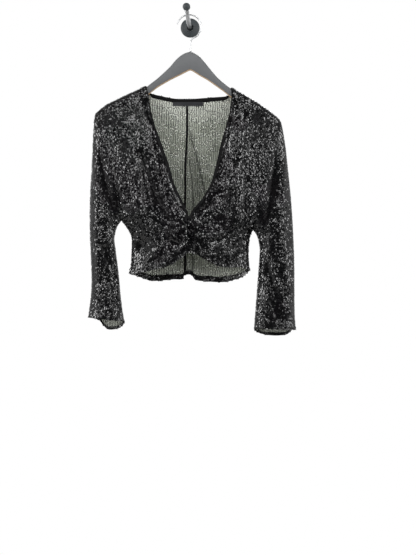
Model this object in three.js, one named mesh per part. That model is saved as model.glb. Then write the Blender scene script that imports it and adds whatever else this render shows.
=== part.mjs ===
// A cropped blouse with long sleeves, a deep V neck and a knot at centre front, on a hanger on a wall hook.
// Millimetres, +Z up. The origin is the centre of the wall plate's back, +Y goes into the wall, and
// "left" is -X, as the blouse is seen from the room.
import * as THREE from 'three';
import { mergeVertices } from 'three/addons/utils/BufferGeometryUtils.js';

const WALL = 1.6; // cloth and its sewn discs together
const SEAM_GAP = 0.3; // between pieces that are sewn or rest on each other
const ARMHOLE_GAP = 0.4;
const BAND_GAP = 0.55; // wider, where folds cross the neckline bands
const PLANE_Y = -55; // the hanger's middle plane, in front of the wall
const CENTRE_X = -2; // centre of the body
// The seam at the top and below, and the share of its length over which it leans.
const CENTRE_BACK = { top: -6, bottom: -11.8, straight: 0.6 };
const CLOTH_RADIUS = 8.4; // outside of the cloth where it rounds the hanger's top edge
const BAND_WIDTH = 13; // neckline bands down the V
const NECK_BAND_HEIGHT = 7; // band of the back neck
const V_BOTTOM = 0.76; // the row of the fronts at which the V ends and the knot begins
const UNDERARM_CLOSING = 120; // height over which front and back come together at the underarm

const COLOURS = {
  sequins: 0x1d1d1f,
  binding: 0x101012,
  satin: 0x1b1b1d,
  paint: 0x6a6c6e,
  wire: 0xc4c6c8,
  plate: 0x3d4346,
};

const materials = {
  sequins: new THREE.MeshStandardMaterial({ color: COLOURS.sequins, roughness: 0.4, metalness: 0.2 }),
  binding: new THREE.MeshStandardMaterial({ color: COLOURS.binding, roughness: 0.85, metalness: 0 }),
  satin: new THREE.MeshStandardMaterial({ color: COLOURS.satin, roughness: 0.45, metalness: 0 }),
  paint: new THREE.MeshStandardMaterial({ color: COLOURS.paint, roughness: 0.5, metalness: 0 }),
  wire: new THREE.MeshStandardMaterial({ color: COLOURS.wire, roughness: 0.2, metalness: 1 }),
  plate: new THREE.MeshStandardMaterial({ color: COLOURS.plate, roughness: 0.45, metalness: 0.3 }),
};

// Turns rows of numbers into objects with named columns.
function table(columns, rows) {
  return rows.map((row) => Object.fromEntries(columns.map((name, i) => [name, row[i]])));
}

// A smooth curve through a table: the value of one column at any place along its key column.
function curve(rows, key, column) {
  const k = rows.map((row) => row[key]);
  const y = rows.map((row) => row[column]);
  const slope = k.map((_, i) => {
    const a = Math.max(i - 1, 0);
    const b = Math.min(i + 1, k.length - 1);
    return (y[b] - y[a]) / (k[b] - k[a]);
  });
  const rising = k[k.length - 1] > k[0];
  return (at) => {
    let i = 0;
    while (i < k.length - 2 && (rising ? at > k[i + 1] : at < k[i + 1])) {
      i += 1;
    }
    const span = k[i + 1] - k[i];
    const t = THREE.MathUtils.clamp((at - k[i]) / span, 0, 1);
    const t2 = t * t;
    const t3 = t2 * t;
    return (2 * t3 - 3 * t2 + 1) * y[i] + (t3 - 2 * t2 + t) * span * slope[i]
      + (3 * t2 - 2 * t3) * y[i + 1] + (t3 - t2) * span * slope[i + 1];
  };
}

// Outlines as seen from the front. The hanger tips to the right, so the two sides differ.
const SIDES = {
  left: {
    sign: -1,
    // the line where cloth lies over the hanger, from the neck out to the sleeve head
    shoulder: table(['x', 'z'], [
      [-60, -131.5], [-102, -151.2], [-145, -170.5], [-195, -194.5],
    ]),
    // armhole down to the underarm, then the side seam down to the hem
    outer: table(['z', 'x'], [
      [-194.5, -195], [-280, -186], [-370, -175], [-440, -165], [-466.5, -160.8],
      [-481, -150.2], [-495, -141], [-509, -136.3], [-550, -137], [-575, -138.6], [-594, -144],
    ]),
    underarmZ: -466.5,
    // across the cuff, from inside to outside: how far out its back layer hangs lower than its front
    cuff: { full: 0.45, none: 0.85 },
    // the V edge down to the knot, the centre line under it, and the height of the same row at the side
    front: table(['v', 'x', 'z', 'sideZ'], [
      [0, -102, -151.2, -194.5], [0.03, -100, -160, -203], [0.1, -95.4, -178, -226],
      [0.2, -91, -211, -258], [0.3, -81.5, -247, -292], [0.4, -66, -289, -330],
      [0.5, -49, -338, -371], [0.6, -35.5, -386, -413], [0.68, -18.5, -420, -446],
      [0.74, -5, -449, -466.5], [0.76, -1.4, -461, -475], [0.88, 0.8, -502, -530],
      [1, 3.3, -543.5, -592],
    ]),
    frontHem: table(['u', 'z'], [
      [0, -543.5], [0.05, -546], [0.11, -552], [0.19, -561], [0.28, -569.5],
      [0.45, -579], [0.62, -584.5], [0.8, -590.5], [1, -592],
    ]),
    backTop: table(['u', 'dx', 'z'], [
      [0, 0, -182.6], [0.16, 0, -180.5], [0.33, 0, -174.3], [0.44, 0, -169.3], [0.475, -2, -164.5],
      [0.5, -2, -157], [0.52, 0, -152.4], [0.7, 0, -168.6], [1, 0, -194.5],
    ]),
    backHem: table(['u', 'z'], [
      [0, -595.5], [0.015, -597.5], [0.04, -605.5], [0.2, -606.5], [0.45, -609.5],
      [0.62, -610], [0.75, -604], [0.9, -597], [1, -592],
    ]),
    backSide: table(['v', 'z'], [
      [0, -194.5], [0.05, -206], [0.16, -240], [0.4, -335], [0.68, -466.5], [0.75, -495], [1, -592],
    ]),
    neckU: 0.47,
    backColumns: [0, 0.03, 0.07, 0.14, 0.22, 0.31, 0.4, 0.44, 0.475, 0.5, 0.56, 0.66, 0.77, 0.87, 0.94, 0.98, 1],
    // sleeve rings: the outer end, the inner end, the depth in front and behind, the drop of the back layer
    sleeve: table(['k', 'ox', 'oz', 'ix', 'iz', 'front', 'back', 'drop', 'blend'], [
      [0, -195, -194.5, -160.8, -466.5, 24, 22, 0, 0],
      [1, -211, -207, -162.2, -468, 24, 22, 0, 0.12],
      [2, -222, -219, -164, -470.5, 24, 22, 0, 0.3],
      [3, -225.5, -242, -166.5, -474, 24, 22, 0, 0.55],
      [4, -228, -290, -171.5, -481.5, 24, 21, 0, 0.8],
      [5, -230.3, -345, -176, -495, 23, 20, 0, 1],
      [6, -233.5, -398, -178.5, -511, 22, 19, 0, 1],
      [7, -235, -450, -176.5, -530, 21, 19, 0, 1],
      [8, -234.6, -500, -173.5, -552, 20, 18, 0, 1],
      [9, -232.5, -548, -170.2, -578, 20, 18, 0, 1],
      [10, -230.5, -596, -167, -607, 20, 18, 0, 1],
      [11, -231.4, -638, -164, -641, 21, 19, 1, 1],
      [12, -235, -670, -160, -675, 22, 20, 8, 1],
      [13, -238.5, -696, -155, -705, 23, 21, 25, 1],
    ]),
  },
  right: {
    sign: 1,
    shoulder: table(['x', 'z'], [
      [60, -132.5], [97, -154.6], [137, -177], [163, -193.2], [186, -209.2],
    ]),
    outer: table(['z', 'x'], [
      [-209.2, 186], [-290, 176], [-380, 164], [-455, 153.5], [-487.7, 149],
      [-497, 145], [-506, 141.6], [-530, 138.8], [-555, 138.4], [-575, 139.8], [-590, 141.4],
    ]),
    underarmZ: -487.7,
    cuff: { full: 0.8, none: 1 },
    front: table(['v', 'x', 'z', 'sideZ'], [
      [0, 97, -154.6, -209.2], [0.03, 98, -163.6, -218], [0.1, 97.6, -182, -240],
      [0.2, 94, -213, -272], [0.3, 85, -249, -306], [0.4, 73.5, -288, -344],
      [0.5, 61.5, -342, -385], [0.6, 47, -388, -427], [0.68, 27, -422, -460],
      [0.74, 5.5, -447, -487.7], [0.76, -1.4, -461, -497], [0.88, 0.8, -502, -542],
      [1, 3.3, -543.5, -586],
    ]),
    frontHem: table(['u', 'z'], [
      [0, -543.5], [0.05, -545], [0.13, -550.5], [0.25, -561], [0.36, -569],
      [0.48, -575.5], [0.66, -578.6], [0.85, -577.5], [1, -586],
    ]),
    backTop: table(['u', 'dx', 'z'], [
      [0, 0, -182.6], [0.19, 0, -179.6], [0.36, 0, -177], [0.48, 0, -174.8], [0.515, 2, -170],
      [0.54, 2, -161], [0.56, 0, -158.3], [0.75, 0, -181], [1, 0, -209.2],
    ]),
    backHem: table(['u', 'z'], [
      [0, -595.5], [0.1, -596], [0.15, -606.5], [0.19, -609], [0.3, -611],
      [0.6, -613], [0.78, -607], [0.9, -600], [1, -586],
    ]),
    backSide: table(['v', 'z'], [
      [0, -209.2], [0.05, -221], [0.16, -255], [0.4, -350], [0.68, -487.7], [0.75, -509], [1, -586],
    ]),
    neckU: 0.51,
    backColumns: [0, 0.03, 0.07, 0.14, 0.22, 0.31, 0.4, 0.48, 0.515, 0.54, 0.6, 0.69, 0.79, 0.88, 0.94, 0.98, 1],
    sleeve: table(['k', 'ox', 'oz', 'ix', 'iz', 'front', 'back', 'drop', 'blend'], [
      [0, 186, -209.2, 149, -487.7, 24, 22, 0, 0],
      [1, 200, -220.5, 150.2, -489.5, 24, 22, 0, 0.12],
      [2, 211, -231, 152, -492, 24, 22, 0, 0.3],
      [3, 217, -248, 154.5, -496, 24, 22, 0, 0.55],
      [4, 225, -296, 159.5, -505, 24, 21, 0, 0.8],
      [5, 230.8, -350, 163.8, -520, 23, 20, 0, 1],
      [6, 236.6, -405, 165.6, -538, 22, 19, 0, 1],
      [7, 240.8, -460, 164.6, -558, 21, 19, 0, 1],
      [8, 243.4, -510, 162.8, -582, 20, 18, 0, 1],
      [9, 245.4, -558, 160.8, -608, 20, 18, 0, 1],
      [10, 245.8, -606, 159, -634, 20, 18, 0, 1],
      [11, 246, -650, 156.6, -664, 21, 19, 0, 1],
      [12, 246.6, -690, 154, -696, 22, 20, 5, 1],
      [13, 249, -724, 152.4, -722, 23, 21, 17, 1],
    ]),
  },
};

// Depth of front and back from the middle plane, by the distance below the shoulder line.
const FRONT_DEPTH = table(['fall', 'centre', 'armhole'], [
  [0, 8.4, 8.4], [20, 9.4, 10], [60, 13, 16], [120, 20, 22], [200, 28, 26], [300, 33, 27], [460, 33, 28],
]);
const BACK_DEPTH = table(['fall', 'centre', 'armhole'], [
  [0, 8.4, 8.4], [20, 9.2, 10], [60, 14, 15], [120, 21, 20], [200, 26, 23], [300, 30, 24], [460, 31, 25],
]);

// Folds of the front and of the back: a soft ridge (or trough, where height is negative) from
// one point to another as seen from the room, bowed sideways by bend, with the width at either end.
const FOLD_COLUMNS = ['x0', 'z0', 'x1', 'z1', 'bend', 'height', 'w0', 'w1'];
const FRONT_FOLDS = table(FOLD_COLUMNS, [
  [-183, -238, -127, -382, 0, 5.5, 16, 12],
  [-127, -368, -90, -510, 4, 5, 10, 6],
  [-208, -317, -173, -466, 2, -6.5, 12, 10],
  [-219, -352, -215, -561, 2, 4, 8, 8],
  [-90, -225, -66, -387, 0, -5, 7, 9],
  [-108, -330, -28, -505, 9, -4.5, 9, 7],
  [-122, -532, -58, -566, 3, -3.5, 12, 9],
  [-48, -516, -14, -528, 0, -5, 9, 8],
  [-98, -472, -30, -500, 6, 4, 7, 5],
  [164, -212, 157, -371, -4, 5.5, 13, 11],
  [159, -375, 124, -515, -6, 4.5, 8, 7],
  [201, -292, 173, -496, -3, -6.5, 12, 12],
  [220, -340, 224, -566, 2, 4.5, 8, 9],
  [129, -205, 110, -352, -2, -5, 7, 6],
  [96, -395, 92, -462, 0, -5, 9, 10],
  [54, -548, 134, -487, 6, 5, 7, 8],
  [44, -520, 110, -480, 7, -4.5, 6, 7],
  [16, -470, 56, -428, -4, -4.5, 8, 8],
  [20, -506, 84, -500, 5, 4, 5, 7],
]);
const BACK_FOLDS = table(FOLD_COLUMNS, [
  [8, -292, 34, -402, 3, -5, 6, 9],
  [0, -320, 8, -600, 3, -5, 6, 10],
  [-70, -330, -84, -600, 6, 6, 16, 22],
  [84, -330, 92, -600, -6, 6, 16, 22],
  [-150, -220, -170, -440, -6, 5.5, 12, 12],
  [150, -236, 160, -460, 6, 5.5, 12, 12],
]);

function smooth(low, high, value) {
  return THREE.MathUtils.smoothstep(value, low, high);
}

// How far a point stands out by the folds that pass near it.
function foldHeight(folds, x, z) {
  let total = 0;
  for (const fold of folds) {
    const dx = fold.x1 - fold.x0;
    const dz = fold.z1 - fold.z0;
    const length = Math.hypot(dx, dz);
    const along = ((x - fold.x0) * dx + (z - fold.z0) * dz) / length;
    const t = along / length;
    if (t > -0.1 && t < 1.1) {
      const across = ((x - fold.x0) * dz - (z - fold.z0) * dx) / length;
      const inside = THREE.MathUtils.clamp(t, 0, 1);
      const bow = fold.bend * 4 * inside * (1 - inside);
      const width = THREE.MathUtils.lerp(fold.w0, fold.w1, inside);
      const ends = smooth(-0.1, 0.12, t) * (1 - smooth(0.7, 1.1, t));
      total += fold.height * ends * Math.exp(-(((across - bow) / width) ** 2));
    }
  }
  return total;
}

// Everything about one side's outline that the pieces of that side share.
function sideShape(side) {
  const shoulderZ = curve(side.shoulder, 'x', 'z');
  const outerX = curve(side.outer, 'z', 'x');
  const topZ = side.outer[0].z;
  return { ...side, shoulderZ, outerX, topZ };
}

const shapes = { left: sideShape(SIDES.left), right: sideShape(SIDES.right) };
const shapeAt = (x) => (x < CENTRE_X ? shapes.left : shapes.right);

// Distance from the middle plane to the outside of the cloth, for the body above a point of the outline.
function bodyDepth(depths, folds, x, z) {
  const shape = shapeAt(x);
  const fall = Math.max(shape.shoulderZ(x) - z, 0);
  const inRound = Math.max(CLOTH_RADIUS - fall, 0);
  const round = Math.sqrt(CLOTH_RADIUS ** 2 - inRound ** 2) / CLOTH_RADIUS;
  const edge = shape.outerX(z);
  const across = THREE.MathUtils.clamp((x - CENTRE_X) / (edge - CENTRE_X), 0, 1);
  const centre = curve(depths, 'fall', 'centre')(fall);
  const armhole = curve(depths, 'fall', 'armhole')(fall);
  const base = THREE.MathUtils.lerp(centre, armhole, across ** 2);
  const closing = THREE.MathUtils.clamp(1 - (z - shape.underarmZ) / UNDERARM_CLOSING, 0, 1);
  const open = Math.sqrt(1 - closing ** 2);
  const rounding = Math.sqrt(Math.max(1 - across ** 2.8, 0));
  const keep = open + (1 - open) * rounding;
  const settle = smooth(10, 60, fall) * Math.min(keep * 1.6, 1) * smooth(0, 0.35, keep);
  return round * base * keep + foldHeight(folds, x, z) * settle;
}

const frontY = (x, z) => PLANE_Y - SEAM_GAP / 2 - bodyDepth(FRONT_DEPTH, FRONT_FOLDS, x, z);
const backY = (x, z) => PLANE_Y + SEAM_GAP / 2 + bodyDepth(BACK_DEPTH, BACK_FOLDS, x, z);

// The height that a shaped top or bottom edge adds to rows between its two ends.
function edgeRise(rows, u) {
  return curve(rows, 'u', 'z')(u) - THREE.MathUtils.lerp(rows[0].z, rows.at(-1).z, u);
}

// Outline point of the front: u from the V edge to the side, v from shoulder to hem. Under the
// V both sides share one centre line.
function frontPoint(shape, u, v) {
  const neckRows = shape.front.filter((row) => row.v <= V_BOTTOM);
  const centreRows = shape.front.filter((row) => row.v >= V_BOTTOM);
  const insideX = curve(v < V_BOTTOM ? neckRows : centreRows, 'v', 'x')(v);
  const insideZ = curve(shape.front, 'v', 'z')(v);
  const sideZ = curve(shape.front, 'v', 'sideZ')(v);
  const sideX = shape.outerX(sideZ);
  const x = THREE.MathUtils.lerp(insideX, sideX, u);
  const firstX = THREE.MathUtils.lerp(shape.front[0].x, shape.outer[0].x, u);
  const line = THREE.MathUtils.lerp(shape.front[0].z, shape.topZ, u);
  const shoulder = shape.shoulderZ(firstX) - line;
  const hem = edgeRise(shape.frontHem, u);
  const z = THREE.MathUtils.lerp(insideZ, sideZ, u) + shoulder * (1 - v) ** 3 + hem * v ** 4;
  return { x, z };
}

// Outline point of the back: u from the centre-back seam to the side, v from neck and shoulder to hem.
function backPoint(shape, u, v) {
  const sideZ = curve(shape.backSide, 'v', 'z')(v);
  const centreZ = THREE.MathUtils.lerp(shape.backTop[0].z, shape.backHem[0].z, v);
  const fade = (1 - v) ** 3;
  const seamX = THREE.MathUtils.lerp(CENTRE_BACK.top, CENTRE_BACK.bottom, smooth(0, CENTRE_BACK.straight, v));
  const x = THREE.MathUtils.lerp(seamX, shape.outerX(sideZ), u) + curve(shape.backTop, 'u', 'dx')(u) * fade;
  const z = THREE.MathUtils.lerp(centreZ, sideZ, u)
    + edgeRise(shape.backTop, u) * fade + edgeRise(shape.backHem, u) * v ** 6;
  return { x, z };
}

// One closed body from two grids of points with the same rows and columns, an outer and an inner one.
function wallGeometry(outer, inner, closed) {
  const rows = outer.length;
  const columns = outer[0].length;
  const points = [...outer.flat(), ...inner.flat()];
  const half = rows * columns;
  const index = [];
  const quad = (a, b, c, d) => index.push(a, b, c, a, c, d);
  const spans = closed ? columns : columns - 1;
  for (let i = 0; i < rows - 1; i += 1) {
    for (let j = 0; j < spans; j += 1) {
      const a = i * columns + j;
      const b = i * columns + ((j + 1) % columns);
      quad(a, b, b + columns, a + columns);
      quad(half + b, half + a, half + a + columns, half + b + columns);
    }
    if (!closed) {
      const a = i * columns;
      const b = a + columns - 1;
      quad(a, a + columns, half + a + columns, half + a);
      quad(b + columns, b, half + b, half + b + columns);
    }
  }
  const last = (rows - 1) * columns;
  for (let j = 0; j < spans; j += 1) {
    const b = (j + 1) % columns;
    quad(b, j, half + j, half + b);
    quad(last + j, last + b, half + last + b, half + last + j);
  }
  return closedGeometry(points, index);
}

// A geometry from points and triangles, turned so that its faces point out.
function closedGeometry(points, index) {
  let volume = 0;
  for (let i = 0; i < index.length; i += 3) {
    const [a, b, c] = [points[index[i]], points[index[i + 1]], points[index[i + 2]]];
    volume += a.dot(new THREE.Vector3().crossVectors(b, c));
  }
  if (volume < 0) {
    index.reverse();
  }
  const geometry = new THREE.BufferGeometry().setFromPoints(points);
  geometry.setIndex(index);
  geometry.computeVertexNormals();
  return geometry;
}

// Unit normals of a grid of points, from its neighbours, turned away from the point given by inside.
function gridNormals(grid, inside, closed) {
  const rows = grid.length;
  const columns = grid[0].length;
  return grid.map((row, i) => row.map((point, j) => {
    const before = closed ? (j + columns - 1) % columns : Math.max(j - 1, 0);
    const after = closed ? (j + 1) % columns : Math.min(j + 1, columns - 1);
    const across = grid[i][after].clone().sub(grid[i][before]);
    const down = grid[Math.min(i + 1, rows - 1)][j].clone().sub(grid[Math.max(i - 1, 0)][j]);
    const normal = across.cross(down).normalize();
    return normal.dot(point.clone().sub(inside(point, i, j))) < 0 ? normal.negate() : normal;
  }));
}

// The inner face of a wall: each point moved in by the wall, with given directions at the seams.
function innerGrid(grid, normals, wall) {
  return grid.map((row, i) => row.map((point, j) => point.clone().addScaledVector(normals[i][j], -wall)));
}

const flat = (x, z) => new THREE.Vector3(x, 0, z).normalize();

// Direction out of the armhole ring, in its own plane, at a height: the seam's walls both follow it.
function armholeNormal(shape, z, surfaceY) {
  const step = 0.8;
  const top = shape.topZ;
  const bottom = shape.underarmZ;
  const high = Math.min(z + step, top);
  const low = Math.max(z - step, bottom);
  const yHigh = surfaceY(shape.outerX(high), high);
  const yLow = surfaceY(shape.outerX(low), low);
  const outward = Math.sign(surfaceY(CENTRE_X, bottom) - PLANE_Y);
  return new THREE.Vector3(0, outward * (high - low), -outward * (yHigh - yLow)).normalize();
}

// Direction out of the cloth at a point of the given surface.
function surfaceNormal(surfaceY, x, z) {
  const step = 1.5;
  const slopeX = (surfaceY(x + step, z) - surfaceY(x - step, z)) / (2 * step);
  const slopeZ = (surfaceY(x, z + step) - surfaceY(x, z - step)) / (2 * step);
  const outward = Math.sign(surfaceY(CENTRE_X, -400) - PLANE_Y);
  return new THREE.Vector3(-slopeX, 1, -slopeZ).multiplyScalar(outward).normalize();
}

// Cloth panel of the body between outline points, on the given surface.
function panelGeometry(shape, pointAt, surfaceY, columns, rows, sides) {
  const grid = rows.map((v) => columns(v).map((u) => {
    const { x, z } = pointAt(shape, u, v);
    return new THREE.Vector3(x, surfaceY(x, z), z);
  }));
  const normals = gridNormals(grid, (point) => new THREE.Vector3(point.x * 0.5, PLANE_Y, point.z));
  grid.forEach((row, i) => {
    const end = row[row.length - 1];
    if (sides.outer) {
      const above = end.z > shape.underarmZ + 0.5;
      normals[i][row.length - 1] = above ? armholeNormal(shape, end.z, surfaceY) : flat(shape.sign, 0);
      end.x -= above ? shape.sign * ARMHOLE_GAP * 0.5 : 0;
    }
    for (const j of sides.seams) {
      const at = j < 0 ? row.length - 1 : j;
      normals[i][at] = surfaceNormal(surfaceY, row[at].x, row[at].z);
    }
    if (sides.inner === 'centre') {
      row[0].x += shape.sign * SEAM_GAP * 0.5;
      normals[i][0].setX(0).normalize();
    }
  });
  if (sides.shoulderFrom !== undefined) {
    const top = columns(rows[0]);
    top.forEach((u, j) => {
      if (u >= sides.shoulderFrom) {
        const here = grid[0][j];
        const rise = shape.shoulderZ(here.x + 1) - shape.shoulderZ(here.x - 1);
        normals[0][j] = flat(-rise, 2);
      }
    });
  }
  return wallGeometry(grid, innerGrid(grid, normals, WALL), false);
}

// Values from 0 to 1, closer together towards 1, where the side rounds off.
function towardsSide(count, first = 0) {
  return Array.from({ length: count }, (_, i) => {
    const t = i / (count - 1);
    return first + (1 - first) * (0.45 * t + 0.55 * Math.sin((t * Math.PI) / 2));
  });
}

// Rows of a front panel: close over the hanger's edge, then even, then close in the folds at the knot.
const FRONT_ROWS = [
  0, 0.0025, 0.008, 0.018, 0.032, 0.07, 0.12, 0.17, 0.22, 0.27, 0.32, 0.37, 0.42, 0.47, 0.52, 0.57,
  0.62, 0.665, 0.705, 0.74, 0.77, 0.8, 0.83, 0.86, 0.89, 0.92, 0.95, 0.98, 1,
];
const BACK_ROWS = [
  0, 0.004, 0.012, 0.024, 0.04, 0.08, 0.14, 0.21, 0.29, 0.38, 0.47, 0.56, 0.63, 0.68, 0.72, 0.78, 0.84,
  0.9, 0.95, 1,
];
const FRONT_COLUMN_COUNT = 16;

// Where across a row the neckline band ends, so that the band keeps its width.
function bandShare(shape, v, width) {
  const inside = frontPoint(shape, 0, v);
  const side = frontPoint(shape, 1, v);
  return width / Math.hypot(side.x - inside.x, side.z - inside.z);
}

function frontPanel(shape) {
  const columns = (v) => towardsSide(FRONT_COLUMN_COUNT, bandShare(shape, v, BAND_WIDTH + BAND_GAP));
  return panelGeometry(shape, frontPoint, frontY, columns, FRONT_ROWS, {
    outer: true, shoulderFrom: 0, seams: [0],
  });
}

function neckBand(shape) {
  const columns = (v) => [0, 0.5, 1].map((t) => t * bandShare(shape, v, BAND_WIDTH));
  return panelGeometry(shape, frontPoint, frontY, columns, FRONT_ROWS, {
    inner: 'centre', shoulderFrom: 0, seams: [0, -1],
  });
}

// The part of the back's rows that the neck band takes, down to nothing where the shoulder begins.
function backBandShare(shape, u, height) {
  const length = shape.backTop[0].z - shape.backHem[0].z;
  return (height / length) * (1 - smooth(shape.neckU - 0.035, shape.neckU + 0.03, u));
}

function backPanel(shape) {
  const fromBand = (side, u, v) => {
    const band = backBandShare(side, u, NECK_BAND_HEIGHT + SEAM_GAP);
    return backPoint(side, u, band + (1 - band) * v);
  };
  return panelGeometry(shape, fromBand, backY, () => shape.backColumns, BACK_ROWS, {
    outer: true, inner: 'centre', shoulderFrom: shape.neckU + 0.03, seams: [0],
  });
}

// A narrow band along the whole back neck, from one shoulder to the other.
function backNeckBand() {
  const stations = [];
  for (const shape of [shapes.left, shapes.right]) {
    const across = shape.backColumns.filter((u) => u <= shape.neckU + 0.01);
    const ordered = shape.sign < 0 ? across.reverse() : across.slice(1);
    stations.push(...ordered.map((u) => ({ shape, u })));
  }
  const grid = [0, 1].map((t) => stations.map(({ shape, u }) => {
    const { x, z } = backPoint(shape, u, t * backBandShare(shape, u, NECK_BAND_HEIGHT));
    return new THREE.Vector3(x, backY(x, z), z);
  }));
  const normals = gridNormals(grid, (point) => new THREE.Vector3(point.x, PLANE_Y, point.z));
  return wallGeometry(grid, innerGrid(grid, normals, WALL), false);
}

// The label, flat against the inside of the back just under its band.
const LABEL = { left: -40.5, right: 31.5, top: -186.4, bottom: -195.6, thick: 0.8, columns: 9 };

function label() {
  const grids = [WALL + SEAM_GAP + 0.4, WALL + SEAM_GAP + 0.4 + LABEL.thick].map((inside) =>
    [LABEL.top, LABEL.bottom].map((z) =>
      Array.from({ length: LABEL.columns }, (_, i) => {
        const x = THREE.MathUtils.lerp(LABEL.left, LABEL.right, i / (LABEL.columns - 1));
        return new THREE.Vector3(x, backY(x, z) - inside, z);
      })));
  return wallGeometry(grids[1], grids[0], false);
}

// The knot at centre front: a twisted bundle that lies on both neckline bands and stands out from them.
const KNOT = { lift: 1.6, depth: 15, edge: 1.2, strands: 3, slant: 0.055, groove: 0.24 };

function knot() {
  const rows = FRONT_ROWS.filter((v) => v > V_BOTTOM);
  const back = rows.map((v) => {
    const row = [];
    for (const shape of [shapes.left, shapes.right]) {
      const shares = [0, 0.5, 1].map((t) => t * bandShare(shape, v, BAND_WIDTH));
      const points = shares.map((u) => {
        const { x, z } = frontPoint(shape, u, v);
        return new THREE.Vector3(x, frontY(x, z) - KNOT.lift, z);
      });
      const between = points.slice(1).map((point, i) => point.clone().lerp(points[i], 0.5));
      const ordered = [points[0], between[0], points[1], between[1], points[2]];
      row.push(...(shape.sign < 0 ? ordered.reverse() : ordered.slice(1)));
    }
    return row;
  });
  const front = back.map((row, i) => row.map((point, j) => {
    const across = (2 * j) / (row.length - 1) - 1;
    const down = i / (rows.length - 1);
    const swell = Math.sin(Math.PI * THREE.MathUtils.lerp(0.12, 0.93, down)) ** 0.7;
    const strand = Math.cos(Math.PI * (KNOT.strands * across * 0.5 + point.z * KNOT.slant));
    const round = Math.sqrt(1 - across ** 2) * (1 - KNOT.groove * strand ** 2);
    return point.clone().setY(point.y - KNOT.edge - KNOT.depth * swell * round);
  }));
  return wallGeometry(front, back, false);
}

// Sleeves: a tube of rings that starts as the armhole and turns down to the cuff.
const SLEEVE_RINGS = [0, 0.5, 1, 1.5, 2, 3, 4, 5, 6, 7, 8, 9, 10, 11, 11.6, 12.3, 13];
const HALF_RING = [0, 6, 14, 24, 42, 62, 82, 102, 124, 148, 168];
const RING_DEGREES = [...HALF_RING, 180, ...HALF_RING.slice(1).map((a) => 360 - a).reverse()];

function sleevePoint(shape, k, degrees) {
  const at = (column) => curve(shape.sleeve, 'k', column)(k);
  const angle = THREE.MathUtils.degToRad(degrees);
  const along = (1 + Math.cos(angle)) / 2;
  const isFront = degrees < 180;
  const depths = isFront ? FRONT_DEPTH : BACK_DEPTH;
  const folds = isFront ? FRONT_FOLDS : BACK_FOLDS;
  const facing = isFront ? -1 : 1;
  const armZ = THREE.MathUtils.lerp(shape.underarmZ, shape.topZ, along);
  const armX = shape.outerX(armZ);
  const armDepth = bodyDepth(depths, folds, armX, armZ);
  const bulge = Math.abs(Math.sin(angle));
  const blend = at('blend');
  const joined = 1 - smooth(0, 1, k);
  const x = THREE.MathUtils.lerp(THREE.MathUtils.lerp(at('ix'), at('ox'), along), armX, joined);
  const fallen = THREE.MathUtils.lerp(THREE.MathUtils.lerp(at('iz'), at('oz'), along), armZ, joined);
  const z = fallen - (isFront ? 0 : at('drop') * bulge * (1 - smooth(shape.cuff.full, shape.cuff.none, along)));
  const lens = (isFront ? at('front') : at('back')) * bulge ** 0.9;
  const fold = foldHeight(folds, x, z) * bulge * blend;
  const depth = degrees % 180 === 0 ? 0 : THREE.MathUtils.lerp(armDepth, lens, blend) + fold;
  return new THREE.Vector3(x + shape.sign * ARMHOLE_GAP * 0.5, PLANE_Y + facing * depth, z);
}

function sleeve(shape) {
  const grid = SLEEVE_RINGS.map((k) => RING_DEGREES.map((degrees) => sleevePoint(shape, k, degrees)));
  const centres = grid.map((ring) => ring[0].clone().lerp(ring[HALF_RING.length], 0.5));
  const middle = (point, i) => {
    const line = ringLine(grid[i]);
    return centres[i].clone().addScaledVector(line, point.clone().sub(centres[i]).dot(line) * 0.8);
  };
  const normals = gridNormals(grid, middle, true);
  grid[0].forEach((point, j) => {
    const degrees = RING_DEGREES[j];
    const surface = degrees < 180 ? frontY : backY;
    normals[0][j] = armholeNormal(shape, point.z, surface);
    if (degrees % 180 === 0) {
      normals[0][j] = new THREE.Vector3(0, 0, degrees === 0 ? 1 : -1);
    }
  });
  return wallGeometry(grid, innerGrid(grid, normals, WALL), true);
}

function ringLine(ring) {
  return ring[0].clone().sub(ring[HALF_RING.length]).normalize();
}

// The hanger: one shaped bar, rounded above and below, from tip to tip.
const HANGER_HALF = 6.2;
const HANGER = table(['x', 'top', 'bottom', 'half'], [
  [-214.5, -219.5, -225.5, 2.6], [-212, -216, -230, 4.6], [-205, -209, -228, HANGER_HALF],
  [-195, -199.6, -221, HANGER_HALF], [-150, -175.4, -199, HANGER_HALF], [-108, -157.5, -178, HANGER_HALF],
  [-101, -152.9, -174, HANGER_HALF],
  [-89, -143.5, -164, HANGER_HALF], [-74.8, -132.5, -153.2, HANGER_HALF],
  [-46.5, -106.1, -136.7, HANGER_HALF], [-32.4, -89.6, -129.6, HANGER_HALF],
  [-18.3, -77.8, -122.6, HANGER_HALF], [-6, -72.2, -116.2, HANGER_HALF], [1.8, -71, -113.4, HANGER_HALF],
  [10, -73.6, -117.4, HANGER_HALF], [24.2, -83, -126.5, HANGER_HALF], [38.3, -99, -134.3, HANGER_HALF],
  [52.4, -116.5, -143.8, HANGER_HALF], [66.6, -132.5, -153.8, HANGER_HALF],
  [80.7, -144.8, -164, HANGER_HALF], [98, -157.8, -178, HANGER_HALF], [137, -179.6, -202, HANGER_HALF],
  [163, -195.9, -218, HANGER_HALF], [180, -208.2, -230, HANGER_HALF], [188, -216.5, -236, HANGER_HALF],
  [196, -224.5, -240, HANGER_HALF],
  [202.5, -231, -242, 4.6], [205, -236, -240.5, 2.6],
]);
const BAR_DEGREES = [0, 30, 60, 90, 120, 150, 180, 210, 240, 270, 300, 330];

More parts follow.
